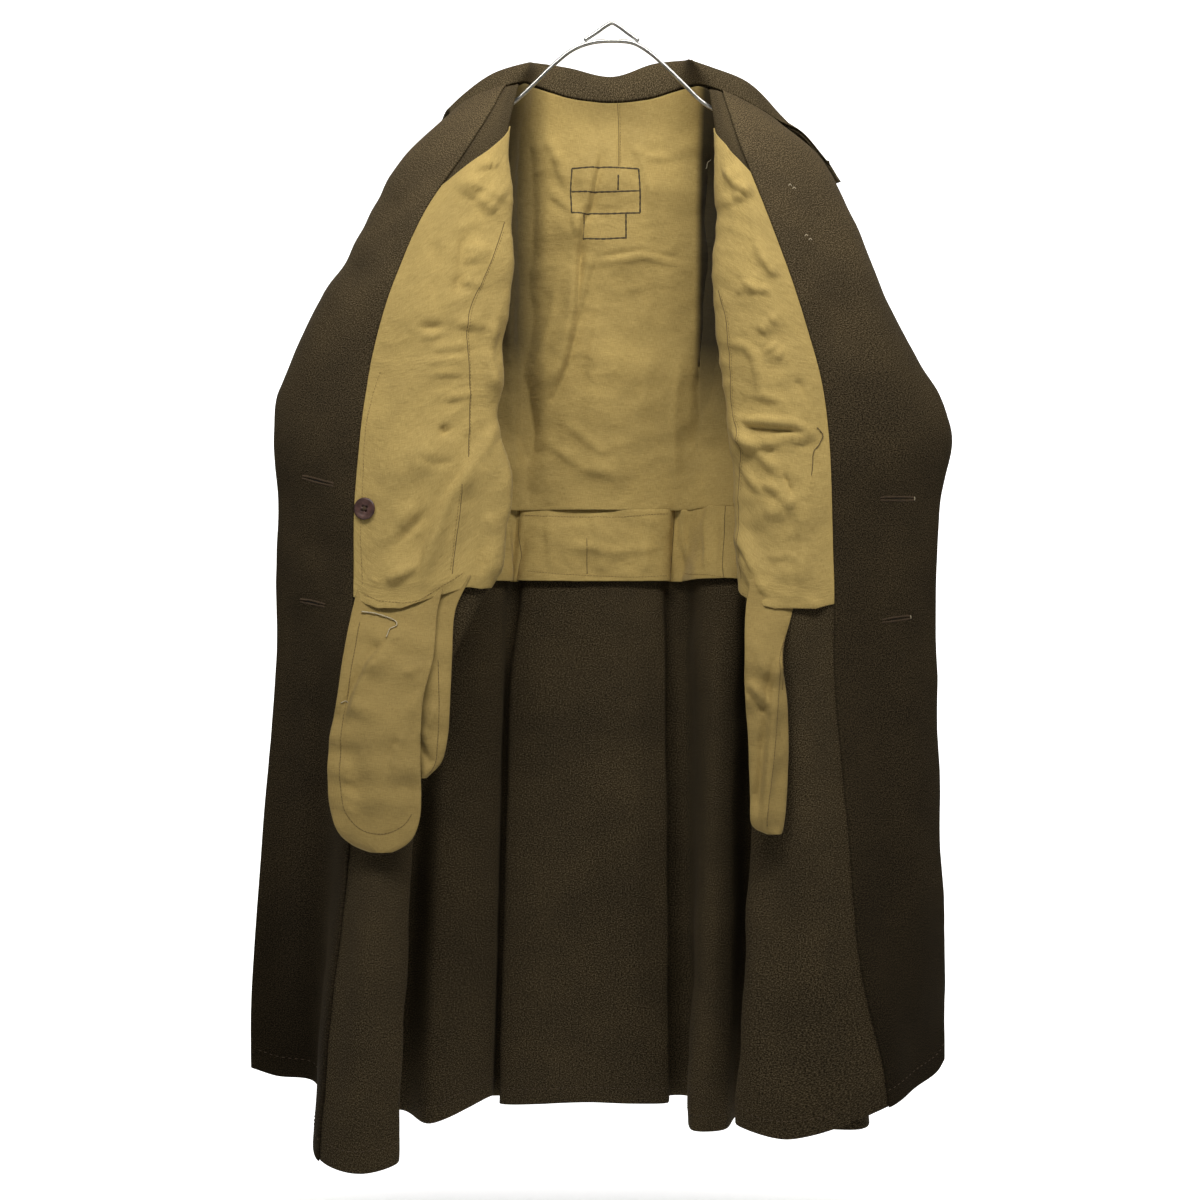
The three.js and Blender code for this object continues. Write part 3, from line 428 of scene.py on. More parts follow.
def rim_loops(rows, columns, ring):
    """The edge of a grid as closed loops of (row, column): one, or the two of a ring"""
    top = [(0, c) for c in range(columns)]
    if ring:
        return [top, [(rows - 1, c) for c in range(columns - 1, -1, -1)]]
    after = [(r, columns - 1) for r in range(1, rows)]
    bottom = [(rows - 1, c) for c in range(columns - 2, -1, -1)]
    before = [(r, 0) for r in range(rows - 2, 0, -1)]
    return [top + after + bottom + before]


def new_mesh(name, vertices, faces):
    """A smooth mesh of vertices and faces"""
    mesh = bpy.data.meshes.new(name)
    mesh.from_pydata(vertices, [], faces)
    mesh.validate()
    mesh.polygons.foreach_set("use_smooth", [True] * len(mesh.polygons))
    return mesh


def linked(name, data):
    """An object with that data, placed in the scene"""
    thing = bpy.data.objects.new(name, data)
    bpy.context.scene.collection.objects.link(thing)
    return thing


def sheet_mesh(name, grid, normals, low, high, ring=False):
    """A closed wall between two offsets of a grid, with a rounded rim"""
    rows, columns = grid.shape[:2]
    half = (high - low) / 2
    middle = grid + normals * (low + high) / 2
    vertices = [(middle - normals * half).reshape(-1, 3), (middle + normals * half).reshape(-1, 3)]
    index = np.arange(rows * columns).reshape(rows, columns)
    size = rows * columns
    faces = []
    spans = columns if ring else columns - 1
    for r in range(rows - 1):
        for c in range(spans):
            a, b = index[r, c], index[r, (c + 1) % columns]
            d, e = index[r + 1, c], index[r + 1, (c + 1) % columns]
            faces.append((a, b, e, d))
            faces.append((a + size, d + size, e + size, b + size))
    start = 2 * size
    centre_row, centre_column = (rows - 1) / 2, (columns - 1) / 2
    for loop in rim_loops(rows, columns, ring):
        inward = []
        for r, c in loop:
            near_r = r + int(np.sign(centre_row - r)) if r in (0, rows - 1) else r
            near_c = c if ring or c not in (0, columns - 1) else c + int(np.sign(centre_column - c))
            inward.append(grid[near_r, near_c] - grid[r, c])
        inward = np.array(inward)
        across = np.array([normals[r, c] for r, c in loop])
        inward -= across * (inward * across).sum(-1, keepdims=True)
        outward = -unit(inward)
        centre = np.array([middle[r, c] for r, c in loop])
        count = len(loop)
        for turn in RIM_TURNS:
            bow, rise = math.cos(math.radians(turn)), math.sin(math.radians(turn))
            vertices.append(centre + half * (outward * bow + across * rise))
        under = [index[r, c] for r, c in loop]
        lines = [under]
        for k in range(len(RIM_TURNS)):
            lines.append([start + k * count + i for i in range(count)])
        lines.append([v + size for v in under])
        start += count * len(RIM_TURNS)
        for low_line, high_line in zip(lines[:-1], lines[1:]):
            for i in range(count):
                j = (i + 1) % count
                faces.append((low_line[j], low_line[i], high_line[i], high_line[j]))
    return new_mesh(name, np.concatenate(vertices).tolist(), faces)


def cloth_map(mesh, grid, ring=False):
    """A map of the sheet's own width and length in metres, for its weave"""
    rows, columns = grid.shape[:2]
    width = np.linalg.norm(np.diff(grid, axis=1), axis=-1).mean(axis=0)
    length = np.linalg.norm(np.diff(grid, axis=0), axis=-1).mean(axis=1)
    u = np.concatenate([[0], np.cumsum(width)])
    v = np.concatenate([[0], np.cumsum(length)])
    flat = np.stack(np.meshgrid(u, -v), axis=-1).reshape(-1, 2)
    every = [flat, flat]
    for loop in rim_loops(rows, columns, ring):
        every += [flat[[r * columns + c for r, c in loop]]] * len(RIM_TURNS)
    every = np.concatenate(every)
    layer = mesh.uv_layers.new(name="cloth")
    corner = np.zeros(len(mesh.loops), dtype=int)
    mesh.loops.foreach_get("vertex_index", corner)
    layer.data.foreach_set("uv", every[corner].ravel())


def face_area(grid):
    """Area of a grid of points in square metres"""
    one = np.cross(grid[1:, :-1] - grid[:-1, :-1], grid[:-1, 1:] - grid[:-1, :-1])
    two = np.cross(grid[:-1, 1:] - grid[1:, 1:], grid[1:, :-1] - grid[1:, 1:])
    return float(np.linalg.norm(one, axis=-1).sum() + np.linalg.norm(two, axis=-1).sum()) / 2


def piece_from(mesh, material):
    """An object with that mesh and material, riding on the coat"""
    piece = linked(mesh.name, mesh)
    mesh.materials.append(material)
    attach(piece, "root")
    return piece


def cloth_piece(name, node, material, grid, normals, low, high, ring=False):
    """A sheet that stands for its CAD node. Its area is printed, for its cut"""
    mesh = sheet_mesh(name, grid, normals, low, high, ring)
    cloth_map(mesh, grid, ring)
    piece = piece_from(mesh, material)
    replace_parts(piece, node)
    width = np.linalg.norm(np.diff(grid, axis=1), axis=-1).sum(axis=1).max()
    length = np.linalg.norm(np.diff(grid, axis=0), axis=-1).sum(axis=0).max()
    print(f"{name}: {len(mesh.polygons)} faces, {width:.3f} x {length:.3f} m, "
          f"{face_area(grid):.4f} m2")
    return piece


# %% [markdown]
# ## Materials
# Wool, cotton and the rest are made of nodes. Each is a base colour broken up at two scales,
# fine as the fibres and wide as the wear, and a bump from the weave or the nap. The wool and
# the back lining also carry painted light and shade: the wool by its height, the back lining
# by its place across.

# %% Material helpers
MIX_SHARE, MIX_FIRST, MIX_SECOND, MIX_RESULT = 0, 6, 7, 2    # the colour sockets of a Mix node


def linear(red, green, blue):
    """A colour given as in a picture, 0 to 255, for the renderer, by the sRGB curve"""
    parts = [c / 255 for c in (red, green, blue)]
    return [c / 12.92 if c <= 0.04045 else ((c + 0.055) / 1.055) ** 2.4 for c in parts] + [1]


class Finish:
    """A material under construction: its nodes are added one by one and joined"""

    def __init__(self, name):
        self.material = bpy.data.materials.new(name)
        self.material.use_nodes = True
        self.tree = self.material.node_tree
        self.shader = self.tree.nodes["Principled BSDF"]

    def node(self, kind, settings=None, **inputs):
        """A new node. Inputs are values or other nodes' outputs, by name with _ for a space"""
        made = self.tree.nodes.new(kind)
        for key, value in (settings or {}).items():
            setattr(made, key, value)
        for key, value in inputs.items():
            self.feed(made.inputs[key.replace("_", " ")], value)
        return made

    def feed(self, socket, value):
        """Join a socket to another node's output, or set its value"""
        if isinstance(value, bpy.types.NodeSocket):
            self.tree.links.new(value, socket)
        else:
            socket.default_value = value

    def stretched(self, source, along, across):
        """The coordinates scaled apart, so that a noise on them has a direction"""
        mapping = self.node("ShaderNodeMapping", Vector=source)
        mapping.inputs["Scale"].default_value = (along, across, 1)
        return mapping.outputs["Vector"]

    def noise(self, source, scale, detail=3, roughness=0.6):
        """A noise between 0 and 1"""
        made = self.node("ShaderNodeTexNoise", Vector=source, Scale=scale, Detail=detail,
                         Roughness=roughness)
        return made.outputs["Fac"]

    def ramp(self, source, stops):
        """Colours along a value: a list of (place, colour)"""
        made = self.node("ShaderNodeValToRGB", Fac=source)
        elements = made.color_ramp.elements
        elements[0].position, elements[0].color = stops[0]
        elements[1].position, elements[1].color = stops[-1]
        for place, colour in stops[1:-1]:
            elements.new(place).color = colour
        return made.outputs["Color"]

    def multiply(self, share, first, second):
        """The first colour times the second, as far as the share says"""
        made = self.node("ShaderNodeMix", {"data_type": "RGBA", "blend_type": "MULTIPLY"})
        self.feed(made.inputs[MIX_SHARE], share)
        self.feed(made.inputs[MIX_FIRST], first)
        self.feed(made.inputs[MIX_SECOND], second)
        return made.outputs[MIX_RESULT]

    def sum(self, first, second, weight):
        """first + weight * second"""
        made = self.node("ShaderNodeMath", {"operation": "MULTIPLY_ADD"})
        self.feed(made.inputs[0], second)
        made.inputs[1].default_value = weight
        self.feed(made.inputs[2], first)
        return made.outputs[0]

    def scaled(self, value, factor):
        """factor * value"""
        made = self.node("ShaderNodeMath", {"operation": "MULTIPLY"})
        self.feed(made.inputs[0], value)
        made.inputs[1].default_value = factor
        return made.outputs[0]

    def along(self, axis, painted_light_stops):
        """A grey for painted light and shade, that changes with the height or the place across. Stops
        are (metres, share)
        """
        source = self.node("ShaderNodeTexCoord").outputs["Object"]
        place = self.node("ShaderNodeSeparateXYZ", Vector=source).outputs[axis]
        low, high = painted_light_stops[0][0], painted_light_stops[-1][0]
        share = self.node("ShaderNodeMapRange", Value=place, From_Min=low, From_Max=high)
        return self.ramp(share.outputs[0], [((at - low) / (high - low), (tone, tone, tone, 1))
                                            for at, tone in painted_light_stops])

    def bump(self, height, distance, strength=1.0):
        """A bump from a height between 0 and 1, distance metres deep"""
        made = self.node("ShaderNodeBump", Height=height, Distance=distance, Strength=strength)
        self.tree.links.new(made.outputs["Normal"], self.shader.inputs["Normal"])

    def surface(self, **inputs):
        """Set the shader's own sockets"""
        for key, value in inputs.items():
            self.feed(self.shader.inputs[key.replace("_", " ")], value)


# %% Melton wool
# colours that the wool is multiplied by where it is least and most rubbed
WOOL_WEAR = [(0.35, (0.72, 0.72, 0.74, 1)), (0.7, (1.28, 1.24, 1.16, 1))]
# (height, share) pairs: painted light and shade, lighter at the shoulders where the light falls
# and darker down towards the hem where it falls off
SHELL_PAINTED_LIGHT = [(-1.15, 0.9), (-0.85, 0.95), (-0.5, 0.95), (-0.15, 1.2), (0.0, 1.45)]
FACING_PAINTED_LIGHT = [(-1.12, 0.3), (-0.85, 0.56), (-0.5, 0.64), (-0.28, 1.15), (-0.1, 1.6)]


def melton(name, dark, middle, light, painted_light_stops):
    """Felted wool: heather flecks under a brushed nap, rubbed paler in places, and painted light
    that makes it lighter at the top and darker towards the hem
    """
    finish = Finish(name)
    source = finish.node("ShaderNodeTexCoord").outputs["UV"]
    flecks = finish.noise(source, scale=800, detail=2, roughness=0.8)
    nap = finish.noise(finish.stretched(source, 1, 0.5), scale=700)
    wear = finish.noise(source, scale=14, detail=4)
    base = finish.ramp(flecks, [(0.4, dark), (0.5, middle), (0.6, light)])
    faded = finish.multiply(0.5, base, finish.ramp(wear, WOOL_WEAR))
    # painted light: lighter at the top and darker towards the hem, for the fall of the light; faded
    # carries wear and this painted light
    faded = finish.multiply(1, faded, finish.along("Z", painted_light_stops))
    rough = finish.node("ShaderNodeMapRange", Value=wear, To_Min=0.86, To_Max=0.98)
    finish.surface(Base_Color=faded, Roughness=rough.outputs[0], Sheen_Weight=0.05,
                   Sheen_Roughness=0.6, Sheen_Tint=(0.5, 0.4, 0.27, 1), Specular_IOR_Level=0.02)
    finish.bump(nap, distance=0.08 * MM)
    return finish.material


wool = melton("wool_melton", linear(29, 25, 18), linear(54, 47, 33), linear(92, 81, 62),
              SHELL_PAINTED_LIGHT)
facing_wool = melton("wool_facing", linear(30, 26, 19), linear(55, 48, 34), linear(94, 82, 63),
                     FACING_PAINTED_LIGHT)
print("wool materials:", wool.name, facing_wool.name)


# %% Khaki cotton
# colours that the cotton is multiplied by where it is least and most worn
COTTON_WEAR = [(0.3, (0.78, 0.77, 0.74, 1)), (0.7, (1.16, 1.15, 1.12, 1))]
# painted shade: the back lining is painted darker beside its middle panel, above the waist, where it
# lies in the shade of the folded fronts and the armholes: (place across, share) pairs, and the heights
# between which the painted shade grows
BACK_PAINTED_SHADE = [(-0.2, 0.4), (-0.14, 0.2), (-0.106, 0.2), (-0.07, 1.0), (0.093, 1.0),
              (0.101, 0.1), (0.14, 0.06), (0.2, 0.3)]
PAINTED_SHADE_FROM, PAINTED_SHADE_TO = -0.46, -0.33


def khaki(name, base_colour, pale, dark, painted_light_stops=None):
    """Plain cotton: slubs along both threads, soft creases, and wear that turns it paler; given stops,
    also painted shade that darkens it across, above the waist
    """
    finish = Finish(name)
    source = finish.node("ShaderNodeTexCoord").outputs["UV"]
    warp = finish.noise(finish.stretched(source, 1900, 160), scale=1)
    weft = finish.noise(finish.stretched(source, 130, 1900), scale=1)
    weave = finish.scaled(finish.sum(warp, weft, 1.0), 0.5)
    threads = finish.ramp(weave, [(0.3, dark), (0.5, base_colour), (0.72, pale)])
    wear = finish.noise(source, scale=9, detail=4)
    toned = finish.multiply(0.55, threads, finish.ramp(wear, COTTON_WEAR))
    # painted shade: darker across the cloth by place, only above the waist
    if painted_light_stops:
        painted_shade_height = finish.along("Z", [(PAINTED_SHADE_FROM, 0), (PAINTED_SHADE_TO, 1)])
        toned = finish.multiply(painted_shade_height, toned, finish.along("X", painted_light_stops))
    rough = finish.node("ShaderNodeMapRange", Value=wear, To_Min=0.72, To_Max=0.88)
    finish.surface(Base_Color=toned, Roughness=rough.outputs[0], Sheen_Weight=0.08,
                   Sheen_Roughness=0.5, Specular_IOR_Level=0.3)
    soft = finish.noise(source, scale=50, detail=4, roughness=0.5)
    crumple = finish.noise(finish.stretched(source, 70, 190), scale=1, detail=4)
    height = finish.sum(finish.sum(soft, crumple, 0.55), weave, 0.14)
    finish.bump(height, distance=1.7 * MM, strength=0.75)
    return finish.material


cotton = khaki("cotton_khaki", linear(171, 148, 89), linear(192, 169, 109), linear(144, 122, 69))
cotton_back_painted_shade = khaki("cotton_back_painted_shade", linear(170, 147, 88), linear(191, 168, 108),
                    linear(143, 121, 68), BACK_PAINTED_SHADE)
cotton_bag = khaki("cotton_bag", linear(148, 127, 75), linear(162, 141, 87), linear(128, 108, 60))
print("cotton materials:", cotton.name, cotton_back_painted_shade.name, cotton_bag.name)


# %% Hard and small finishes
def plain_finish(name, colour, pale, scale, roughness, metallic=0.0, depth=0.05 * MM):
    """A finish for a small hard piece: a mottled colour with fine scratches"""
    finish = Finish(name)
    source = finish.node("ShaderNodeTexCoord").outputs["Object"]
    mottle = finish.noise(source, scale, detail=4)
    finish.surface(Base_Color=finish.ramp(mottle, [(0.3, colour), (0.7, pale)]),
                   Metallic=metallic)
    rough = finish.node("ShaderNodeMapRange", Value=mottle, To_Min=roughness - 0.08,
                        To_Max=roughness + 0.1)
    finish.surface(Roughness=rough.outputs[0])
    finish.bump(mottle, depth, strength=0.5)
    return finish.material


wire = plain_finish("wire_galvanised", linear(150, 150, 148), linear(205, 205, 202), 300, 0.3, 1.0)
button_finish = plain_finish("button_horn", linear(44, 28, 26), linear(92, 64, 58), 160, 0.35)
thread_dark = plain_finish("thread_brown", linear(52, 40, 26), linear(84, 66, 44), 900, 0.8)
thread_khaki = plain_finish("thread_khaki", linear(112, 92, 50), linear(140, 118, 68), 900, 0.8)
thread_pale = plain_finish("thread_pale", linear(150, 138, 112), linear(196, 186, 160), 900, 0.8)
print("small finishes:", wire.name, button_finish.name, thread_dark.name)

# %% [markdown]
# ## Wool
# The wool shell is cut in a back with deep pleats below the waist, two fronts and two
# sleeves. Its creases are long and shallow, because melton is too thick to fold sharply.

# %% Creases of the wool
SPACING_WOOL = 6 * MM
# height in mm, width of the left and of the right side in pixels, line of picture points
BACK_CREASES = [
    (5, 26, 18, [(545, 610), (546, 780), (540, 980), (538, 1110)]),
    (-4.5, 16, 22, [(585, 590), (588, 700), (586, 860), (590, 1100)]),
    (4.5, 24, 16, [(632, 620), (636, 820), (630, 1095)]),
    (-3, 12, 16, [(655, 600), (654, 800), (652, 1000)]),
    (4, 9, 12, [(718, 600), (716, 780), (712, 1000), (710, 1095)]),
    (-3, 6, 8, [(702, 610), (698, 800), (692, 1090)]),
]
LEFT_FRONT_CREASES = [
    (4.5, 14, 20, [(318, 620), (310, 780), (300, 1060)]),
    (-4, 16, 16, [(290, 500), (288, 700), (275, 1040)]),
    (3.5, 20, 16, [(340, 420), (336, 560)]),
    (-3, 12, 18, [(300, 540), (330, 556)]),
    (-5, 18, 20, [(399, 179), (375, 215), (352, 254), (335, 300)]),
    (3.5, 12, 12, [(455, 930), (446, 1010), (440, 1100)]),
    (-3.5, 12, 12, [(428, 880), (420, 1000), (415, 1100)]),
    (3.5, 10, 12, [(375, 870), (362, 1000), (352, 1150)]),
    (-3, 9, 10, [(350, 880), (336, 1010), (330, 1140)]),
]
RIGHT_FRONT_CREASES = [
    (5, 22, 16, [(800, 700), (812, 860), (826, 1120)]),
    (-4, 16, 20, [(775, 660), (780, 860), (778, 1120)]),
    (4, 20, 22, [(900, 460), (908, 700), (925, 1040)]),
    (-3.5, 18, 14, [(870, 560), (874, 760), (890, 980)]),
    (3.5, 10, 12, [(752, 860), (756, 1110)]),
    (-8, 20, 24, [(757, 128), (801, 179), (832, 278), (848, 357), (856, 430)]),
    (4, 14, 16, [(812, 165), (846, 232), (872, 310), (888, 360)]),
]


# length in pixels, angle and spread in degrees, height in mm
WOOL_RIPPLES = [(110, 5, 35, 0.8), (34, 20, 80, 0.16)]
FLAT_ROWS = 2                  # rows below the neck over which the relief grows


def wool_relief(creases, seed):
    """Creases and a low ripple, in metres, for one wool piece"""
    def relief(px, py, rows, columns):
        height = crease_heights(px, py, creases)
        for number, (length, angle, spread, high) in enumerate(WOOL_RIPPLES):
            height = height + ripple(px, py, seed + number, length, angle, spread) * high * MM
        return height * np.clip(rows / FLAT_ROWS, 0, 1)
    return relief


back_relief = wool_relief(BACK_CREASES, 11)
left_relief = wool_relief(LEFT_FRONT_CREASES, 21)
right_relief = wool_relief(RIGHT_FRONT_CREASES, 31)
print("creases in the wool:", len(BACK_CREASES + LEFT_FRONT_CREASES + RIGHT_FRONT_CREASES))

# %% Back and fronts
LAST_ROW = len(LEFT_BACK) - 1
LAST_BACK = whole_back.shape[1] - 1
SEAM_COLUMN, EDGE_COLUMN = 4, 7
# side, table, the turn of its normals, its relief
SIDES = [("left", left_front, 1, left_relief), ("right", right_front, -1, right_relief)]


def part_of(points, turn, relief, rows, columns, spacing, top=None, hem=None):
    """Grid and normals of a part of a surface, between two rows and two columns. A top or a hem
    is a list of (column, row) where the upper or lower edge runs"""
    down = places(points, 0, *rows, spacing)
    across = places(points, 1, *columns, spacing)
    share = ((down - rows[0]) / (rows[1] - rows[0]))[:, None]
    first_row = np.interp(across, *zip(*(top or [(0, rows[0])])))[None, :]
    last_row = np.interp(across, *zip(*(hem or [(0, rows[1])])))[None, :]
    return formed(points, first_row + (last_row - first_row) * share, across, turn, relief)


back_grid, back_normals = part_of(whole_back, -1, back_relief, (0, LAST_ROW), (0, LAST_BACK),
                                  SPACING_WOOL)
back = cloth_piece("back", "back", wool,
                   drawn_in(back_grid, (WOOL / 2, WOOL / 2, 0, 0)),
                   back_normals, -WOOL, 0)
front_grids = {}
facing_grids = {}
for side, table, turn, relief in SIDES:
    grid, normals = part_of(table, turn, relief, (0, LAST_ROW), (0, EDGE_COLUMN), SPACING_WOOL)
    grid = drawn_in(grid, (WOOL / 2, WOOL / 2, 0, WOOL / 2))
    cloth_piece(f"front_{side}", f"front_{side}", wool, grid, normals, -WOOL, 0)
    front_grids[side] = grid, normals
    grid, normals = part_of(table, turn, relief, (0, LAST_ROW), (SEAM_COLUMN, EDGE_COLUMN),
                            SPACING_WOOL)
    grid = drawn_in(grid, (FACING / 2,) * 4)
    cloth_piece(f"facing_{side}", f"facing_{side}", facing_wool, grid, normals,
                LAYER_GAP, LAYER_GAP + FACING)
    facing_grids[side] = grid, normals

# %% [markdown]
# The collar is one band that stands up from the neck seam, rolls over and falls outward. The
# sleeves hang outside the folded fronts, so little more than their outline is seen.

# %% Collar and sleeves
# each row runs from the neck seam up the stand, over the fold and down the fall: (x, y, z), mm
COLLAR_LEFT = [
    ((-45, 58, -60), (-46, 69, -33), (-47, 77, -22),
     (-50, 85, -29), (-55, 89, -70), (-60, 91, -118)),
    ((-81, 44, -52.5), (-80, 52, -34), (-83, 60, -22),
     (-88, 68, -28), (-98, 76, -72), (-106, 80, -122)),
    ((-100, 3, -61), (-95, 6, -46), (-96, 13, -37.5),
     (-101, 23, -40), (-119, 46, -71), (-136, 70, -120)),
    ((-132, -5, -73), (-128, 3, -58), (-130, 12, -48.5),
     (-135, 23, -51), (-148, 47, -82), (-163, 70, -127)),
    ((-161, 2.2, -86), (-158, 9, -76), (-161, 18, -68.5),
     (-166, 28, -72), (-176, 50, -97), (-186, 69, -136)),
    ((-177.5, 11, -94), (-178, 17, -87), (-182, 26, -85),
     (-187, 36, -90), (-194, 52, -110), (-202, 69, -142)),
]

COLLAR_RIGHT = [
    ((45, 58, -60), (46, 69, -31), (46, 77, -18),
     (49, 85, -25), (54, 89, -68), (60, 91, -118)),
    ((80, 44, -52.5), (78, 52, -32), (80, 60, -19),
     (86, 68, -25), (98, 76, -70), (106, 80, -122)),
    ((103, 4.5, -64.6), (94, 6, -44), (89, 13, -34.5),
     (97, 23, -38), (119, 46, -73), (136, 70, -122)),
    ((147, -0.5, -83.2), (143, 6, -66), (146, 15, -56),
     (151, 26, -60), (162, 50, -91), (175, 70, -134)),
    ((180, 7, -101), (181, 11, -95), (187, 21, -93),
     (193, 31, -99), (202, 52, -120), (210, 68, -148)),
    ((206, 12, -112), (210, 17, -113), (215, 25, -122),
     (220, 33, -131), (226, 44, -146), (230, 56, -164)),
    ((235, 17, -144), (239, 17, -148), (242, 18, -152),
     (245, 19, -156), (248, 20, -160), (251, 20, -164)),
]

# outer edge (x, z), inner edge (x, z), middle y, half the depth; mm
SLEEVE_RINGS = [
    (213.9, -149, 208.2, -368, 5, 36),
    (226, -170, 213, -386, 5, 43),
    (240, -213, 218, -404, 6, 46),
    (263, -270, 219, -427, 7, 47),
    (285, -333, 219, -456, 8, 46),
    (304, -405, 219, -495, 9, 45),
    (314, -500, 219, -550, 10, 44),
    (317, -620, 221, -635, 11, 42),
    (318, -745, 224, -745, 12, 40),
]
COLLAR_CENTRE = [((0, 61, -64), (0, 72, -40), (0, 80, -30.5),
                  (0, 88, -37), (0, 91, -74), (0, 93, -115))]
COLLAR_WALL = 3.2 * MM
SPACING_COLLAR = 4 * MM
COLLAR_RIPPLE = 0.35 * MM
collar_rows = COLLAR_LEFT[::-1] + COLLAR_CENTRE + COLLAR_RIGHT
collar_points = np.array(collar_rows, dtype=float) * MM


def collar_relief(px, py, rows, columns):
    """The collar's cloth is firm, so it only ripples a little"""
    return ripple(px, py, 41, 60, 60, 60) * COLLAR_RIPPLE


grid, normals = part_of(collar_points, -1, collar_relief, (0, len(collar_rows) - 1),
                        (0, len(collar_rows[0]) - 1), SPACING_COLLAR)
cloth_piece("collar", "collar", wool, drawn_in(grid, (COLLAR_WALL / 2,) * 4), normals,
            -COLLAR_WALL, 0)

SLEEVE_SIDES = 56
SPACING_SLEEVE = 7 * MM
SLEEVE_WAVE, ELBOW_WAVE = 0.5 * MM, 1.3 * MM
SLEEVE_SUNK = 0.6 * MM         # how far the cloth lies inside the plain rings
ELBOW_Z, ELBOW_REACH = -0.42, 0.13
PIXELS_ROUND = 400             # pixels for each metre of depth, so that waves run on round the arm
sleeve_rings = np.array(SLEEVE_RINGS) * MM


def sleeve_grid(sign):
    """Rings of the sleeve, from the shoulder down to the cuff"""
    where = places(sleeve_rings[:, None, :2], 0, 0, len(sleeve_rings) - 1, SPACING_SLEEVE)
    out_x, out_z, in_x, in_z, mid_y, half = smooth_line(sleeve_rings, where).T[..., None]
    angle = np.linspace(0, 2 * math.pi, SLEEVE_SIDES, endpoint=False)
    share = (1 + np.cos(angle)) / 2
    x = in_x + (out_x - in_x) * share
    z = in_z + (out_z - in_z) * share
    y = mid_y + half * np.sin(angle)
    return np.stack([sign * x, y, z], axis=-1)


for side, sign, seed in (("left", -1, 51), ("right", 1, 52)):
    grid = sleeve_grid(sign)
    centre = grid.mean(axis=1, keepdims=True)
    plane = unit(np.cross(grid[:, :1] - grid[:, SLEEVE_SIDES // 2:SLEEVE_SIDES // 2 + 1], (0, 1, 0)))
    around = np.roll(grid, -1, axis=1) - np.roll(grid, 1, axis=1)
    normals = unit(np.cross(around, plane))
    normals *= np.sign((normals * (grid - centre)).sum(-1, keepdims=True))
    px, py = seen(grid)
    # The sleeve's creases run across it, deepest at the bend of the elbow
    elbow = np.exp(-((grid[..., 2] - ELBOW_Z) / ELBOW_REACH) ** 2)
    waves = ripple(px + grid[..., 1] * PIXELS_ROUND, py, seed, 60, 25, 25)
    relief = waves * (SLEEVE_WAVE + ELBOW_WAVE * elbow) - SLEEVE_SUNK
    grid = grid + normals * relief[..., None]
    cloth_piece(f"sleeve_{side}", f"sleeve_{side}", wool, grid, normals, 0, WOOL, ring=True)

# %% [markdown]
# ## Lining
# The half lining is loose khaki cotton. It is sewn to the facings and at the armholes, and
# hangs free at its hem, so it puffs away from the wool between its seams and creases there.

# %% Creases of the lining
SPACING_COTTON = 3.2 * MM
BACK_LINING_CREASES = [
    (9, 70, 60, [(622, 120), (622, 300), (616, 480)]),
    (6, 26, 5, [(581, 116), (594, 139), (597, 157), (588, 205), (580, 223), (577, 259),
                (573, 312), (564, 360), (548, 400), (533, 445)]),
    (-5, 3.5, 4.5, [(588, 118), (597, 141), (601, 158), (592, 206), (584, 225), (580, 262),
                    (577, 312), (568, 360), (553, 400)]),
    (2, 3.5, 4, [(557, 281), (552, 317), (538, 360)]),
    (2, 3.5, 5, [(632, 150), (650, 158), (672, 160)]),
    (2, 3.5, 4, [(598, 300), (596, 340), (588, 372)]),
    (4, 12, 3, [(601, 237), (591, 264), (585, 285), (566, 360), (543, 400)]),
    (-14, 7, 12, [(523, 100), (524, 240), (524, 370), (528, 490)]),
    (6, 6, 4.5, [(510, 130), (510, 260), (510, 380)]),
    (-4, 2.5, 12, [(619, 100), (620, 135), (621, 185)]),
    (3.5, 4, 7.5, [(545, 135), (558, 165), (566, 190)]),
    (3, 4, 9, [(548, 190), (575, 215), (580, 240)]),
    (3, 6, 7, [(635, 142), (650, 190), (652, 220)]),
    (3.5, 3.5, 9, [(590, 265), (641, 257), (684, 266)]),
    (-3, 3.5, 3.5, [(592, 260), (640, 253), (684, 262)]),
    (-14, 7.5, 10.5, [(712, 140), (711, 260), (706, 360), (698, 440)]),
    (-3, 12, 20, [(620, 122), (680, 132), (706, 128)]),
    (2.5, 14, 18, [(668, 200), (672, 320), (664, 470)]),
    (2, 7.5, 12, [(600, 330), (590, 420), (596, 490)]),
    (2.5, 6, 10.5, [(640, 290), (648, 360), (640, 430)]),
    (3, 4.5, 7.5, [(684, 340), (672, 420), (676, 495)]),
    (2, 4, 6, [(560, 420), (600, 452), (640, 440)]),
    (2.5, 4, 7.5, [(548, 445), (585, 470), (622, 478)]),
]
BAND_CREASES = [
    (2.2, 4, 7, [(596, 512), (602, 578)]),
    (2, 4, 6, [(650, 512), (644, 580)]),
    (1.8, 3, 6, [(548, 512), (552, 578)]),
    (1.5, 4.5, 4.5, [(560, 545), (620, 552), (668, 546)]),
]
SIDE_CREASES = [
    (3, 3, 7, [(682, 490), (683, 535), (692, 565)]),
    (3, 3, 6, [(717, 500), (710, 525), (710, 575)]),
    (2.5, 3, 6, [(726, 504), (724, 584)]),
    (3, 4, 5, [(482, 520), (485, 560), (480, 585)]),
    (2.5, 3, 4.5, [(505, 520), (510, 580)]),
]
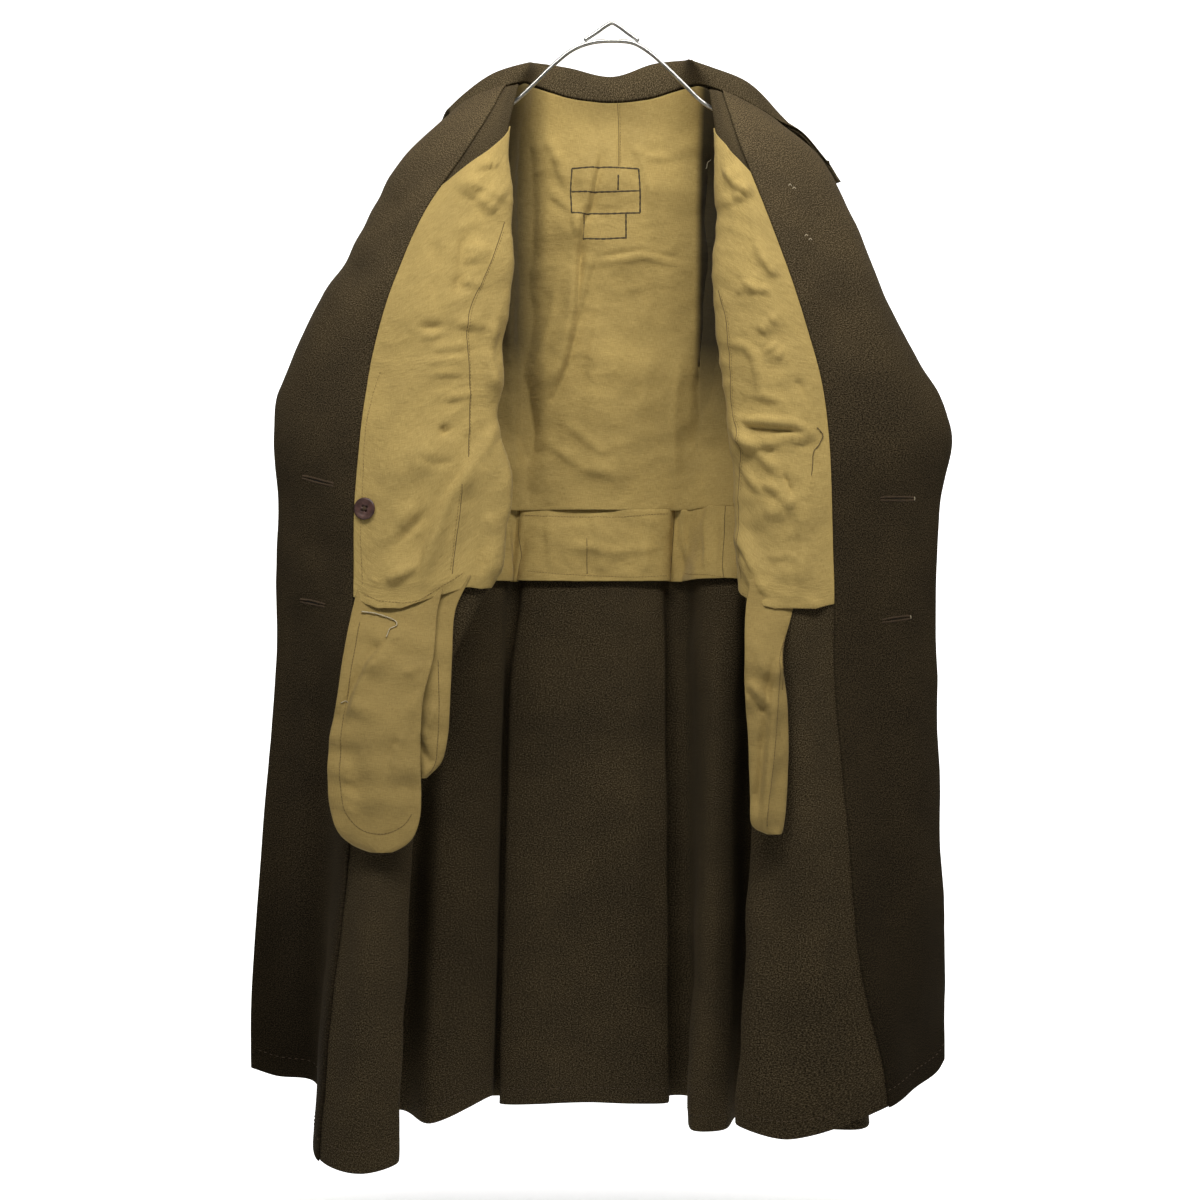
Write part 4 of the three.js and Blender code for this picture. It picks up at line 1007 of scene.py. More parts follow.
LEFT_LINING_CREASES = [
    (4, 4.5, 10.5, [(462, 183), (482, 190), (503, 202)]),
    (4.5, 4, 9, [(459, 189), (476, 197), (494, 217)]),
    (3, 4, 7, [(474, 171), (488, 165), (498, 168)]),
    (-3, 5, 7, [(434, 235), (435, 268), (434, 300)]),
    (-4, 5, 7, [(463, 236), (460, 268), (456, 296)]),
    (3, 4, 6, [(462, 248), (476, 251), (490, 256)]),
    (3, 4, 6, [(461, 261), (476, 259), (488, 262)]),
    (3, 4, 6, [(459, 281), (470, 284), (482, 286)]),
    (-3.5, 4.5, 4.5, [(422, 327), (430, 329), (440, 327)]),
    (2.2, 3, 6, [(420, 336), (432, 337), (444, 334)]),
    (2.5, 3, 7, [(455, 325), (470, 326), (487, 329)]),
    (1.6, 2.5, 4, [(430, 350), (450, 349), (466, 347)]),
    (1.6, 2.5, 4, [(427, 363), (448, 361), (466, 360)]),
    (1.6, 2.5, 4, [(426, 376), (446, 374), (464, 375)]),
    (3, 3, 6, [(443, 398), (456, 398), (470, 394)]),
    (5, 5, 4, [(494, 318), (487, 357), (492, 397)]),
    (-5, 4, 5, [(440, 425), (443, 432), (447, 436)]),
    (5, 22, 16, [(468, 434), (430, 455), (395, 477), (374, 505)]),
    (-2.5, 2.5, 4, [(416, 457), (432, 465), (450, 464)]),
    (3.5, 7, 10, [(373, 546), (398, 530), (420, 506)]),
    (-3.5, 7, 7.5, [(400, 540), (414, 525), (428, 510)]),
    (5, 4, 6, [(386, 583), (400, 575), (416, 567)]),
    (4, 4, 6, [(362, 594), (370, 586), (378, 577)]),
    (6, 3, 10.5, [(472, 452), (461, 480), (450, 492), (440, 513), (430, 541), (425, 556),
                (424, 584)]),
    (2.5, 4, 6, [(462, 486), (458, 507), (453, 548)]),
    (3, 4, 4.5, [(492, 425), (486, 445), (476, 462)]),
    (4, 4, 9, [(486, 512), (492, 538), (485, 578)]),
    (-4, 4, 4, [(478, 545), (482, 560), (480, 572)]),
    (2, 3, 4, [(500, 410), (502, 470), (510, 540)]),
]
RIGHT_LINING_CREASES = [
    (4, 3, 7.5, [(727, 170), (738, 186), (752, 196)]),
    (3, 4, 7.5, [(722, 205), (738, 200), (756, 192)]),
    (3.5, 4.5, 9, [(755, 238), (764, 262), (778, 280)]),
    (2.5, 3, 5, [(738, 296), (746, 289), (759, 291)]),
    (2.5, 3, 5, [(744, 281), (756, 290), (772, 293)]),
    (2.2, 3, 5, [(765, 262), (772, 274), (780, 276)]),
    (3, 3, 6, [(732, 345), (749, 347), (757, 361), (762, 397)]),
    (3.5, 7, 8, [(768, 345), (775, 353), (784, 356)]),
    (3, 4, 6, [(776, 316), (769, 325), (760, 333)]),
    (2.5, 3, 6, [(751, 396), (765, 397), (782, 402)]),
    (-3, 4, 4.5, [(796, 378), (802, 392), (806, 404)]),
    (5, 4, 5, [(744, 421), (772, 423), (795, 425), (808, 432), (820, 434)]),
    (-4.5, 2.5, 4, [(749, 428), (775, 430), (796, 432)]),
    (4, 3, 4.5, [(780, 439), (802, 439), (818, 437)]),
    (5, 3, 7, [(737, 428), (743, 440), (755, 447), (780, 444)]),
    (4, 4, 7, [(740, 438), (760, 454), (780, 474)]),
    (3, 2.5, 5, [(742, 462), (752, 480), (765, 496)]),
    (3.5, 3, 5, [(766, 485), (774, 489), (782, 493)]),
    (-3, 2.5, 3, [(785, 474), (788, 484), (792, 493)]),
    (3, 4, 5, [(781, 494), (787, 503), (796, 505)]),
    (3.5, 7.5, 9, [(752, 525), (765, 515), (790, 512)]),
    (6, 2.5, 9, [(741, 520), (744, 541), (753, 560), (763, 585), (774, 604)]),
    (5, 2.5, 6, [(742, 548), (752, 577), (764, 602), (780, 622)]),
    (2, 4.5, 6, [(800, 500), (803, 555), (800, 600)]),
    (3, 4, 5, [(805, 602), (815, 606), (826, 612)]),
    (2, 2.5, 4.5, [(770, 560), (786, 556), (800, 560)]),
]
# small puckers down the seam of the right facing
PUCKERS = [(1.6, 2, 3, [(x, y), (x + 9, y - 1)]) for x, y in
           [(765, 250), (769, 258), (772, 266), (776, 275), (779, 284), (783, 292), (786, 302),
            (790, 312), (794, 322), (797, 333), (801, 344), (804, 355), (807, 366), (809, 376),
            (811, 386), (813, 396), (815, 406), (817, 416), (818, 448), (819, 460), (820, 474)]]
RIGHT_LINING_CREASES += PUCKERS


# rows and columns over which the puff grows, from a sewn top, from under the tuck, from a side
TOP_FADE, TUCK_FADE, SIDE_FADE = 0.9, 0.1, 0.6
LEAST_AIR = 0.3 * MM           # away from its sewn edges the lining is never nearer the wool
# waves of the loose cloth: length in pixels, angle and spread in degrees
SOFT_WAVE, SHARP_WAVE, FINE_WAVE = (70, 10, 45), (46, 25, 60), (15, 0, 90)
SOFT_HEIGHT, SHARP_HEIGHT, FINE_HEIGHT = 1.3 * MM, 0.8 * MM, 0.16 * MM


def lining_relief(under, creases, seed, rows_range, columns_range, puff):
    """The wool's own relief, and on it the lining's puff, creases and ripple, never below it"""
    first_row, last_row = rows_range
    first_column, last_column = columns_range

    def relief(px, py, rows, columns):
        top = smooth_step((rows - first_row) / (TOP_FADE if first_row < 1 else TUCK_FADE))
        left = smooth_step((columns - first_column) / SIDE_FADE)[None, :]
        right = smooth_step((last_column - columns) / SIDE_FADE)[None, :]
        height = puff * MM + crease_heights(px, py, creases)
        height = height + ripple(px, py, seed, *SOFT_WAVE) * SOFT_HEIGHT
        height = height + (1 - np.abs(ripple(px, py, seed + 1, *SHARP_WAVE))) * SHARP_HEIGHT
        height = height + ripple(px, py, seed + 2, *FINE_WAVE) * FINE_HEIGHT
        return np.maximum(height, LEAST_AIR) * top * left * right + under(px, py, rows, columns)
    return relief


# %% Lining pieces
TUCK_ROW, BACK_HEM_ROW, FRONT_HEM_ROW = 7, 8, 9
TUCK_LAP = 0.1                 # of a row, that the pieces below the tuck run up behind it
BAND_ROWS = (TUCK_ROW - TUCK_LAP, BACK_HEM_ROW)
TURN_COLUMN = CENTRE - 3
TUCK_COLUMN = CENTRE + 2
LINING_HIGH = LAYER_GAP + COTTON
SEAM_INSET = 0.25              # of a column, that the back's lining stops short of the side seams
BACK_SIDES = (SEAM_INSET, LAST_BACK - SEAM_INSET)
# name, material, seed, rows, columns, puff in mm, creases
BACK_LININGS = [
    ("lining_back", cotton_back_painted_shade, 60, (0, TUCK_ROW), BACK_SIDES, 6, BACK_LINING_CREASES),
    ("lining_band", cotton, 65, BAND_ROWS, (TURN_COLUMN, TUCK_COLUMN), 5, BAND_CREASES),
    ("lining_side_left", cotton, 70, BAND_ROWS, (BACK_SIDES[0], TURN_COLUMN), 5, SIDE_CREASES),
    ("lining_side_right", cotton, 75, BAND_ROWS, (TUCK_COLUMN, BACK_SIDES[1]), 5, SIDE_CREASES),
]
# (column, row) where the front linings' upper and lower edges run
LEFT_HEM = [(0.45, 8.05), (1.6, 8.1), (2.0, 8.2), (2.25, 8.28), (2.45, 8.22), (2.7, 8.5),
            (3.0, 8.8), (3.25, 9.0), (3.6, 9.0), (3.8, 8.85), (4.0, 8.6)]
RIGHT_HEM = [(0.45, 8.05), (1.9, 8.15), (2.1, 8.5), (2.5, 8.9), (2.8, 9.0), (3.3, 9.0),
             (3.6, 9.0), (4.0, 8.85)]
LEFT_TOP = [(0.45, 0.5), (2.0, 0.62), (3.0, 1.0), (3.5, 1.25), (4.0, 1.6)]
RIGHT_TOP = [(0.45, 0.5), (2.0, 0.62), (3.0, 0.95), (3.6, 1.2), (4.0, 1.4)]
# seed, creases, top, hem
FRONT_LININGS = {"left": (90, LEFT_LINING_CREASES, LEFT_TOP, LEFT_HEM),
                 "right": (95, RIGHT_LINING_CREASES, RIGHT_TOP, RIGHT_HEM)}
FRONT_ROWS, FRONT_COLUMNS = (0.5, FRONT_HEM_ROW), (0.45, SEAM_COLUMN)
FRONT_PUFF = 4
lining_grids = {}


def lining_piece(name, material, *part):
    """One lining piece, cut from its part of the back or a front"""
    grid, normals = part_of(*part)
    grid = drawn_in(grid, (COTTON / 2,) * 4)
    cloth_piece(name, name, material, grid, normals, LAYER_GAP, LINING_HIGH)
    lining_grids[name] = grid, normals


for name, material, seed, rows, columns, puff, creases in BACK_LININGS:
    relief = lining_relief(back_relief, creases, seed, rows, columns, puff)
    lining_piece(name, material, whole_back, -1, relief, rows, columns, SPACING_COTTON)
for side, table, turn, under in SIDES:
    seed, creases, top, hem = FRONT_LININGS[side]
    relief = lining_relief(under, creases, seed, FRONT_ROWS, FRONT_COLUMNS, FRONT_PUFF)
    lining_piece(f"lining_front_{side}", cotton, table, turn, relief, FRONT_ROWS, FRONT_COLUMNS,
                 SPACING_COTTON, top, hem)

# %% [markdown]
# ## Pocket bags
# The bags hang free below the lining, each two layers of cotton sewn round the edge. They are
# closed forms: flat at the seamed edge, and a little fuller in the middle.

# %% Pocket bags
# rows of (z, left, right, y) in mm; the first lies up behind the lining's hem
BAG_LEFT = [
    (-600, -259, -172, -88.5), (-630.6, -266, -180, -93), (-680, -274, -183, -106),
    (-720, -278, -192, -116), (-760, -284, -194, -126), (-800, -285, -193, -132),
    (-835, -281, -193, -135), (-856, -271, -199, -136), (-866, -259, -208, -136),
    (-872, -243, -220, -136),
]
BAG_LEFT_INNER = [
    (-596, -190, -146, -84), (-630.6, -192, -162, -87), (-680, -194, -165, -94),
    (-720, -196, -166, -104), (-760, -197, -168, -111), (-785, -196, -174, -114),
    (-800, -195, -188, -116),
]
BAG_RIGHT = [
    (-600, 142, 190, -88), (-630.6, 137, 184, -91.5), (-680, 135, 172, -102),
    (-715, 135, 176, -104), (-760, 138, 178, -106), (-820, 140, 176, -108),
    (-850, 142, 173, -109), (-858, 156, 171, -109),
]
BAG_CREASES = [
    (7, 3, 16, [(391, 640), (370, 664), (357, 692), (348, 720)]),
    (-3, 4, 3, [(386, 638), (365, 661), (352, 689), (343, 718)]),
    (3, 3, 6, [(405, 728), (396, 748), (389, 772)]),
    (-2.5, 4, 3, [(400, 735), (390, 760), (386, 775)]),
    (3, 3, 6, [(432, 655), (424, 688), (414, 703), (408, 720)]),
    (2, 3, 4, [(421, 662), (412, 671), (401, 673)]),
    (2.5, 6, 9, [(366, 622), (380, 640), (414, 624)]),
    (-2.5, 8, 10, [(352, 740), (356, 790), (362, 826)]),
    (3, 14, 16, [(378, 690), (376, 760), (384, 822)]),
    (-2, 4, 5, [(406, 780), (410, 800), (410, 818)]),
    (1.2, 2.5, 3.5, [(340, 792), (348, 796), (356, 801)]),
    (1.2, 2.5, 3.5, [(343, 778), (352, 780), (358, 784)]),
    (1.2, 2.5, 3.5, [(342, 805), (350, 811), (358, 816)]),
    (-3, 4, 4, [(416, 735), (424, 752), (432, 768)]),
    (3, 3, 7, [(436, 700), (428, 722), (418, 738)]),
    (5, 4, 6, [(797, 620), (788, 648), (777, 672), (774, 700), (771, 745), (766, 800),
               (764, 830)]),
    (-4, 5, 3, [(781, 650), (770, 675), (767, 700), (764, 745), (759, 800), (757, 826)]),
    (5, 8, 3.5, [(748, 680), (757, 692), (769, 706)]),
    (-4, 3.5, 4, [(746, 688), (755, 700), (766, 714)]),
    (2, 5, 6, [(753, 640), (762, 662), (768, 680)]),
    (1.8, 3, 4, [(748, 622), (762, 632), (774, 636)]),
]
BAG_EDGE = 0.7 * MM
BAG_BOW = 5 * MM
BAG_FULLNESS = 0.7             # below 1, so that the bow is flat in the middle
BAG_WAVE = 1.3 * MM
HANG_FROM, HANG_OVER = 0.8, 1.4    # table rows: where the bow begins, and how long it grows
BAG_SPACING = 2.5 * MM
bag_grids = {}
for name, table in (("pocket_bag_left", BAG_LEFT), ("pocket_bag_left_inner", BAG_LEFT_INNER),
                    ("pocket_bag_right", BAG_RIGHT)):
    rows = np.array(table) * MM
    where = places(rows[:, None, :1], 0, 0, len(rows) - 1, BAG_SPACING)
    z, left, right, y = smooth_line(rows, where).T[..., None]
    share = np.linspace(0, 1, int((right - left).max() / BAG_SPACING) + 1)
    bow = np.sin(math.pi * share) ** BAG_FULLNESS
    hang = smooth_step((where - HANG_FROM) / HANG_OVER)[:, None]
    grid = np.stack([left + (right - left) * share, y - BAG_BOW * bow * hang, z + 0 * share],
                    axis=-1)
    px, py = seen(grid)
    lift = crease_heights(px, py, BAG_CREASES) + ripple(px, py, 71, 34, 15, 40) * BAG_WAVE
    grid[..., 1] -= lift * hang
    normals = unit(np.cross(np.gradient(grid, axis=1), np.gradient(grid, axis=0)))
    normals *= np.sign(-normals[..., 1:2])
    cloth_piece(name, name, cotton_bag, grid, normals, -BAG_EDGE, BAG_EDGE)
    bag_grids[name] = grid, normals

# %% [markdown]
# ## Hanger
# A galvanised wire, bent to an arch with two arms that run down inside the shoulders, and a
# peaked eye that stands on the arch.

# %% Hanger
WIRE_RADIUS = 2.25 * MM
WIRE_SIDES = 20
# a domed end's rings, as shares of the wire's radius: how far out, and how wide
DOME = [(0.552, 0.38), (0.36, 0.8)]
ARCH = [(-200, 5.5, -144.2), (-172, 6, -123.7), (-142, 6, -102.7), (-108, 3, -84), (-84, 1, -63),
        (-62, 0, -42), (-43, 0, -27), (-23, 0, -19.3), (0, 0, -17.2), (23, 0, -19.5),
        (41, 0, -30), (56, 0, -43), (78, 1, -64), (100, 3, -84), (142, 6, -104.9),
        (172, 6, -125.2), (200, 5.5, -144.2)]
HANGER_EYE = [(-29, 0, -16.1), (-17, 0, -8.2), (-6, 0, -0.4), (0, 0, 2.25), (6, 0, -0.4),
              (16, 0, -7.8), (28, 0, -16.5)]


def tube(places_along, one, two, radii, sides, flat=1.0):
    """Vertices and faces of a closed tube: rings of the radii in the directions one and two"""
    angle = np.linspace(0, 2 * math.pi, sides, endpoint=False)[:, None]
    vertices = []
    for place, radius, first, second in zip(places_along, radii, one, two):
        ring = place + radius * (np.cos(angle) * first + flat * np.sin(angle) * second)
        vertices.extend(ring.tolist())
    count = len(places_along)
    faces = []
    for start in range(0, (count - 1) * sides, sides):
        for s in range(sides):
            t = (s + 1) % sides
            faces.append((start + s, start + t, start + sides + t, start + sides + s))
    faces.append(tuple(reversed(range(sides))))
    faces.append(tuple(range((count - 1) * sides, count * sides)))
    return vertices, faces


def wire_mesh(name, line, radius):
    """A round wire along a line of points, with domed ends"""
    along = unit(np.gradient(line, axis=0))
    side = unit(np.cross(along, (0.02, 1, 0.01)))
    other = np.cross(along, side)
    before = [line[0] - along[0] * radius * out for out, _ in DOME]
    after = [line[-1] + along[-1] * radius * out for out, _ in reversed(DOME)]
    radii = [radius * wide for _, wide in DOME]
    radii = radii + [radius] * len(line) + radii[::-1]
    pad = ((len(DOME), len(DOME)), (0, 0))
    return new_mesh(name, *tube([*before, *line, *after], np.pad(side, pad, "edge"),
                                np.pad(other, pad, "edge"), radii, WIRE_SIDES))


for name, table in (("hanger_arch", ARCH), ("hanger_eye", HANGER_EYE)):
    points = np.array(table, dtype=float) * MM
    line = smooth_line(points, np.linspace(0, len(points) - 1, 10 * len(points)))
    piece = piece_from(wire_mesh(name, line, WIRE_RADIUS), wire)
    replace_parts(piece, name)
print("hanger wire:", round(2 * WIRE_RADIUS / MM, 1), "mm")

# %% [markdown]
# ## Places on a piece
# Sewing, threads and buttonholes lie on the finished cloth. A place is found on a piece's own
# grid from the picture point where the eye sees it, so the detail follows every crease.

# %% Places on a piece
READINGS = 40                  # places read between two points of a line, before it is evened out
INSIDE = 1.001                 # keeps a place within the grid's last cell


def found(cloth, line, lift=0.0, spacing=2.0 * MM):
    """Points and normals on a cloth's upper face, along a line of picture points"""
    grid, normals, high = cloth
    gx, gy = seen(grid)
    rows, columns = gx.shape
    spots = []
    for tx, ty in line:
        i, j = np.unravel_index(np.argmin((gx - tx) ** 2 + (gy - ty) ** 2), gx.shape)
        i, j = min(max(i, 1), rows - 2), min(max(j, 1), columns - 2)
        slope = np.array([[gx[i + 1, j] - gx[i - 1, j], gx[i, j + 1] - gx[i, j - 1]],
                          [gy[i + 1, j] - gy[i - 1, j], gy[i, j + 1] - gy[i, j - 1]]]) / 2
        step = np.linalg.lstsq(slope, np.array([tx - gx[i, j], ty - gy[i, j]]), rcond=None)[0]
        spots.append(np.array([i, j]) + np.clip(step, -1, 1))
    last = [rows - INSIDE, columns - INSIDE]
    spots = np.clip(spots, 0, last)
    dense = smooth_line(spots, np.linspace(0, len(spots) - 1, READINGS * (len(spots) - 1) + 1))
    dense = np.clip(dense, 0, last)
    low = np.floor(dense).astype(int)
    si, sj = (dense - low).T[..., None]
    i, j = low.T

    def blend(values):
        return ((values[i, j] * (1 - si) + values[i + 1, j] * si) * (1 - sj)
                + (values[i, j + 1] * (1 - si) + values[i + 1, j + 1] * si) * sj)

    points, across = blend(grid), unit(blend(normals))
    points = points + across * (high + lift)
    reach = lengths_along(points)
    where = np.linspace(0, reach[-1], max(2, int(reach[-1] / spacing) + 1))
    return read_along(points, reach, where), unit(read_along(across, reach, where))


def joined(name, forms, material):
    """One piece from many small closed forms, each given as vertices and faces"""
    vertices, faces = [], []
    for points, polygons in forms:
        start = len(vertices)
        vertices.extend(points)
        faces.extend(tuple(start + k for k in polygon) for polygon in polygons)
    piece = piece_from(new_mesh(name, vertices, faces), material)
    return piece


def strand(line, radii, sides=6, flat=1.0, up=None):
    """A thread along a line of points, with a radius at each point"""
    line = np.array(line)
    along = unit(np.gradient(line, axis=0))
    guide = np.array([0.03, -1, 0.02]) if up is None else up
    side = unit(np.cross(along, guide))
    return tube(line, side, np.cross(side, along), radii, sides, flat)


# one stitch: shares of its length, heights over the cloth, and shares of its radius
STITCH_PLACES = np.array([0, 0.2, 0.8, 1])
STITCH_HEIGHTS = np.array([[-0.3], [0.16], [0.16], [-0.3]]) * MM
STITCH_WIDTHS = np.array([0.6, 1, 1, 0.6])


def stitches(name, rows, material, pitch=3.4 * MM, length=2.5 * MM, radius=0.3 * MM):
    """Running stitches along lines on cloths, each a short thread that dives in at both ends"""
    forms = []
    for points, across in rows:
        reach = lengths_along(points)
        for start in np.arange(0, reach[-1] - length, pitch):
            where = start + length * STITCH_PLACES
            line = read_along(points, reach, where) + read_along(across, reach, where) * STITCH_HEIGHTS
            forms.append(strand(line, radius * STITCH_WIDTHS))
    joined(name, forms, material)


# %% [markdown]
# ## Sewing
# The lining is topstitched beside its seams and along its hems with a khaki thread, and each
# seam itself reads as a dark sunk line. The skirt's hem is turned up and caught with small
# stitches that show as a faint line. A rolled seam closes each side of the shell.

# %% Sewing on the lining
seam_shadow = plain_finish("seam_shadow", linear(84, 68, 38), linear(110, 92, 54), 500, 0.9)


def upper(name, folded=False):
    """A lining piece's grid, normals and the height of its upper face. Of a folded one, only
    the part from its fold to the facing, which the eye sees"""
    grid, normals = lining_grids[name]
    first = 0
    if folded:
        middle_px = seen(grid[len(grid) // 2])[0]
        first = int(np.argmax(np.abs(middle_px - middle_px[-1])))
    return grid[:, first:], normals[:, first:], LINING_HIGH


LEFT, RIGHT = upper("lining_front_left", True), upper("lining_front_right", True)
BACK, BAND = upper("lining_back"), upper("lining_band")
SIDE_RIGHT = upper("lining_side_right")
LINING_SEAMS = [
    (LEFT, [(503, 232), (492, 262), (472, 310), (470, 370), (470, 430), (470, 455)]),
    (LEFT, [(461, 486), (458, 507), (453, 548), (450, 572)]),
    (LEFT, [(381, 372), (372, 400), (366, 431), (363, 486), (361, 540), (363, 586)]),
    (LEFT, [(365, 594), (380, 601), (401, 603), (420, 600), (432, 592), (447, 583), (464, 572)]),
    (RIGHT, [(722, 296), (728, 316), (730, 335), (733, 373), (735, 411), (739, 436), (741, 493)]),
    (RIGHT, [(783, 616), (802, 614), (828, 606)]),
    (RIGHT, [(743, 593), (757, 597)]),
    (BACK, [(619, 104), (620, 130), (620, 166)]),
    (BAND, [(528, 571), (560, 574), (600, 576), (640, 577), (668, 576)]),
    (BAND, [(516, 515), (560, 517), (620, 517), (668, 514)]),
    (SIDE_RIGHT, [(686, 574), (705, 575), (727, 578)]),
]
BAG_LEFT_CLOTH = (*bag_grids["pocket_bag_left"], BAG_EDGE)
INNER_CLOTH = (*bag_grids["pocket_bag_left_inner"], BAG_EDGE)
BAG_RIGHT_CLOTH = (*bag_grids["pocket_bag_right"], BAG_EDGE)
BAG_SEAMS = [
    (BAG_LEFT_CLOTH, [(360, 622), (353, 660), (345, 710), (341, 750), (341, 790), (348, 816),
                      (362, 830), (384, 834), (404, 825), (412, 814)]),
    (INNER_CLOTH, [(438, 660), (439, 700), (437, 750), (429, 773)]),
    (BAG_RIGHT_CLOTH, [(789, 635), (780, 668), (778, 700), (775, 745), (769, 800), (767, 826)]),
    (BAG_RIGHT_CLOTH, [(793, 640), (785, 668), (782, 690)]),
]
stitches("lining_stitches", [found(cloth, line) for cloth, line in LINING_SEAMS], thread_khaki)
stitches("bag_stitches", [found(cloth, line) for cloth, line in BAG_SEAMS], thread_khaki)
print("lining and bag seams sewn:", len(LINING_SEAMS) + len(BAG_SEAMS))

# %% Seam lines in the lining
SEAM_LINES = [
    (LEFT, [(504, 222), (492, 259), (470, 309), (469, 370), (469, 430), (469, 458)]),
    (LEFT, [(462, 484), (460, 507), (455, 548), (452, 574)]),
    (RIGHT, [(719, 290), (726, 316), (728, 335), (731, 373), (733, 411), (737, 436), (739, 493),
             (742, 580)]),
    (BACK, [(617, 102), (618, 130), (618, 166)]),
    (BAND, [(520, 506), (520, 540), (520, 576)]),
    (BAND, [(674, 502), (674, 540), (673, 574)]),
    (BAND, [(587, 538), (587, 574)]),
    (SIDE_RIGHT, [(726, 506), (724, 545), (724, 580)]),
    *BAG_SEAMS,
]
SEAM_LINE_RADIUS, SEAM_LINE_FLAT = 0.42 * MM, 0.4
ditches = []
for cloth, line in SEAM_LINES:
    points, across = found(cloth, line)
    ditches.append(strand(points, [SEAM_LINE_RADIUS] * len(points), 6, SEAM_LINE_FLAT, across))
joined("lining_seam_lines", ditches, seam_shadow)
print("seam lines:", len(SEAM_LINES))

# %% Sewing on the skirt
HEM_RISE = 17 * MM
HEM_LIFT = 0.1 * MM
FRONT_SHARE = (0, 0.58)        # shares of the width: a front's hem as far as its facing
FACING_SHARE = (0.02, 0.97)


def above_hem(grid, normals, high, share=(0, 1)):
    """The line that runs a hem's depth above a grid's lower edge, over a share of its width"""
    first, last = (int(part * (grid.shape[1] - 1)) for part in share)
    points, across = [], []
    for c in range(first, last + 1):
        reach = lengths_along(grid[::-1, c])
        r = len(reach) - 1 - int(np.searchsorted(reach, HEM_RISE))
        points.append(grid[r, c] + normals[r, c] * high)
        across.append(normals[r, c])
    return np.array(points), np.array(across)


hem_rows = [above_hem(back_grid, back_normals, HEM_LIFT)]
for side in ("left", "right"):
    hem_rows.append(above_hem(*front_grids[side], HEM_LIFT, FRONT_SHARE))
    hem_rows.append(above_hem(*facing_grids[side], LAYER_GAP + FACING + HEM_LIFT, FACING_SHARE))
stitches("hem_stitches", hem_rows, thread_dark, pitch=7 * MM, length=3.2 * MM,
         radius=0.35 * MM)
print("hems sewn:", len(hem_rows))

# %% Side seams
SEAM_RIDGE = 1.7 * MM
SEAM_ENDS = slice(3, -3)       # rows: the ridge stops short of the neck and the hem
ridges = []
for column in (0, -1):
    line = back_grid[SEAM_ENDS, column] - back_normals[SEAM_ENDS, column] * WOOL / 2
    ridges.append(strand(line, [SEAM_RIDGE] * len(line), 8))
joined("side_seams", ridges, wool)
print("side seams:", len(ridges))

# %% [markdown]
# ## Buttonholes
# Each is a slit in the facing, bound with close blanket stitches. The two on the right end in a
# pale bar of thread.

# %% Buttonholes
SLIT_PITCH = 0.7 * MM          # from one binding stitch to the next
SLIT_HALF = 0.9 * MM           # half the slit's width in its middle
SLIT_ROUND = 0.4               # the lower, the blunter the slit's ends
SLIT_ENDS = (0.04, 0.96)       # shares of its length, beyond which it gets no narrower
SLIT_SUNK, SLIT_FLAT = 0.35 * MM, 0.45
# a binding stitch's points in mm: out from the slit's edge, up from the cloth, radius
BINDING = [(0, -0.5, 0.3), (0.7, 0.55, 0.36), (2.2, -0.3, 0.2)]
TACK_REACHES = (1.4 * MM, 1.9 * MM)
# a tack's points: share of its reach, height over the cloth in mm, radius in mm
TACK = [(-1, 0.5, 0.3), (0, 0.8, 0.45), (1, 0.5, 0.3)]


def bound_slit(name, cloth, start, end, tack):
    """A slit in the facing, from one picture point to another, with its bound edges"""
    points, across = found(cloth, [start, end], 0.0, SLIT_PITCH)
    side = unit(np.cross(unit(np.gradient(points, axis=0)), across))
    share = np.clip(np.linspace(0, 1, len(points)), *SLIT_ENDS)
    half = SLIT_HALF * np.sin(math.pi * share) ** SLIT_ROUND
    forms = []
    for k, place in enumerate(points):
        for turn in (-1, 1):
            line = [place + side[k] * turn * (half[k] + out * MM) + across[k] * rise * MM
                    for out, rise, _ in BINDING]
            forms.append(strand(line, [radius * MM for *_, radius in BINDING], 5))
    joined(name, forms, thread_dark)
    slit = strand(points - across * SLIT_SUNK, half, 8, SLIT_FLAT)
    joined(name + "_slit", [slit], slit_dark)
    if tack:
        bars = [strand([points[-1] + side[-1] * part * reach + across[-1] * rise * MM
                        for part, rise, _ in TACK], [radius * MM for *_, radius in TACK])
                for reach in TACK_REACHES]
        joined(name + "_tack", bars, thread_pale)


slit_dark = plain_finish("slit_shadow", linear(12, 10, 8), linear(22, 18, 13), 400, 0.9)
LEFT_FACING = (*facing_grids["left"], LAYER_GAP + FACING)
RIGHT_FACING = (*facing_grids["right"], LAYER_GAP + FACING)
# name, cloth, start, end, whether a tack shows at the end
BUTTONHOLES = [
    ("buttonhole_left_1", LEFT_FACING, (304, 477), (334, 485), False),
    ("buttonhole_left_2", LEFT_FACING, (302, 600), (326, 606), False),
    ("buttonhole_right_1", RIGHT_FACING, (880, 499), (913, 499), True),
    ("buttonhole_right_2", RIGHT_FACING, (882, 621), (909, 617), True),
]
for buttonhole in BUTTONHOLES:
    bound_slit(*buttonhole)
print("buttonholes:", len(BUTTONHOLES))

# %% [markdown]
# ## Buttons
# Four-hole horn buttons with a rounded rim and a dished middle, sewn on with a cross of
# thread. One is on the left lining, and four on the outer face of the folded fronts.

# %% Buttons
BUTTON_SIDES = 64
BUTTON_RINGS = 30
# shares of the radius
HOLE_PLACE, HOLE_RADIUS, HOLE_SLOPE = 0.1692, 0.1457, 0.0705
DISH_PLACE, DISH_WIDTH, RIM_PLACE = 0.25, 0.42, 0.86
BASE_RADIUS = 0.9
THREAD_SHIFT = 0.0376          # how far the two threads of a pair lie from their middle
# shares of the thickness
DISH_DEPTH, RIM_FALL, HOLE_DEPTH, LOWEST = 0.32, 22.5, 0.75, -0.42
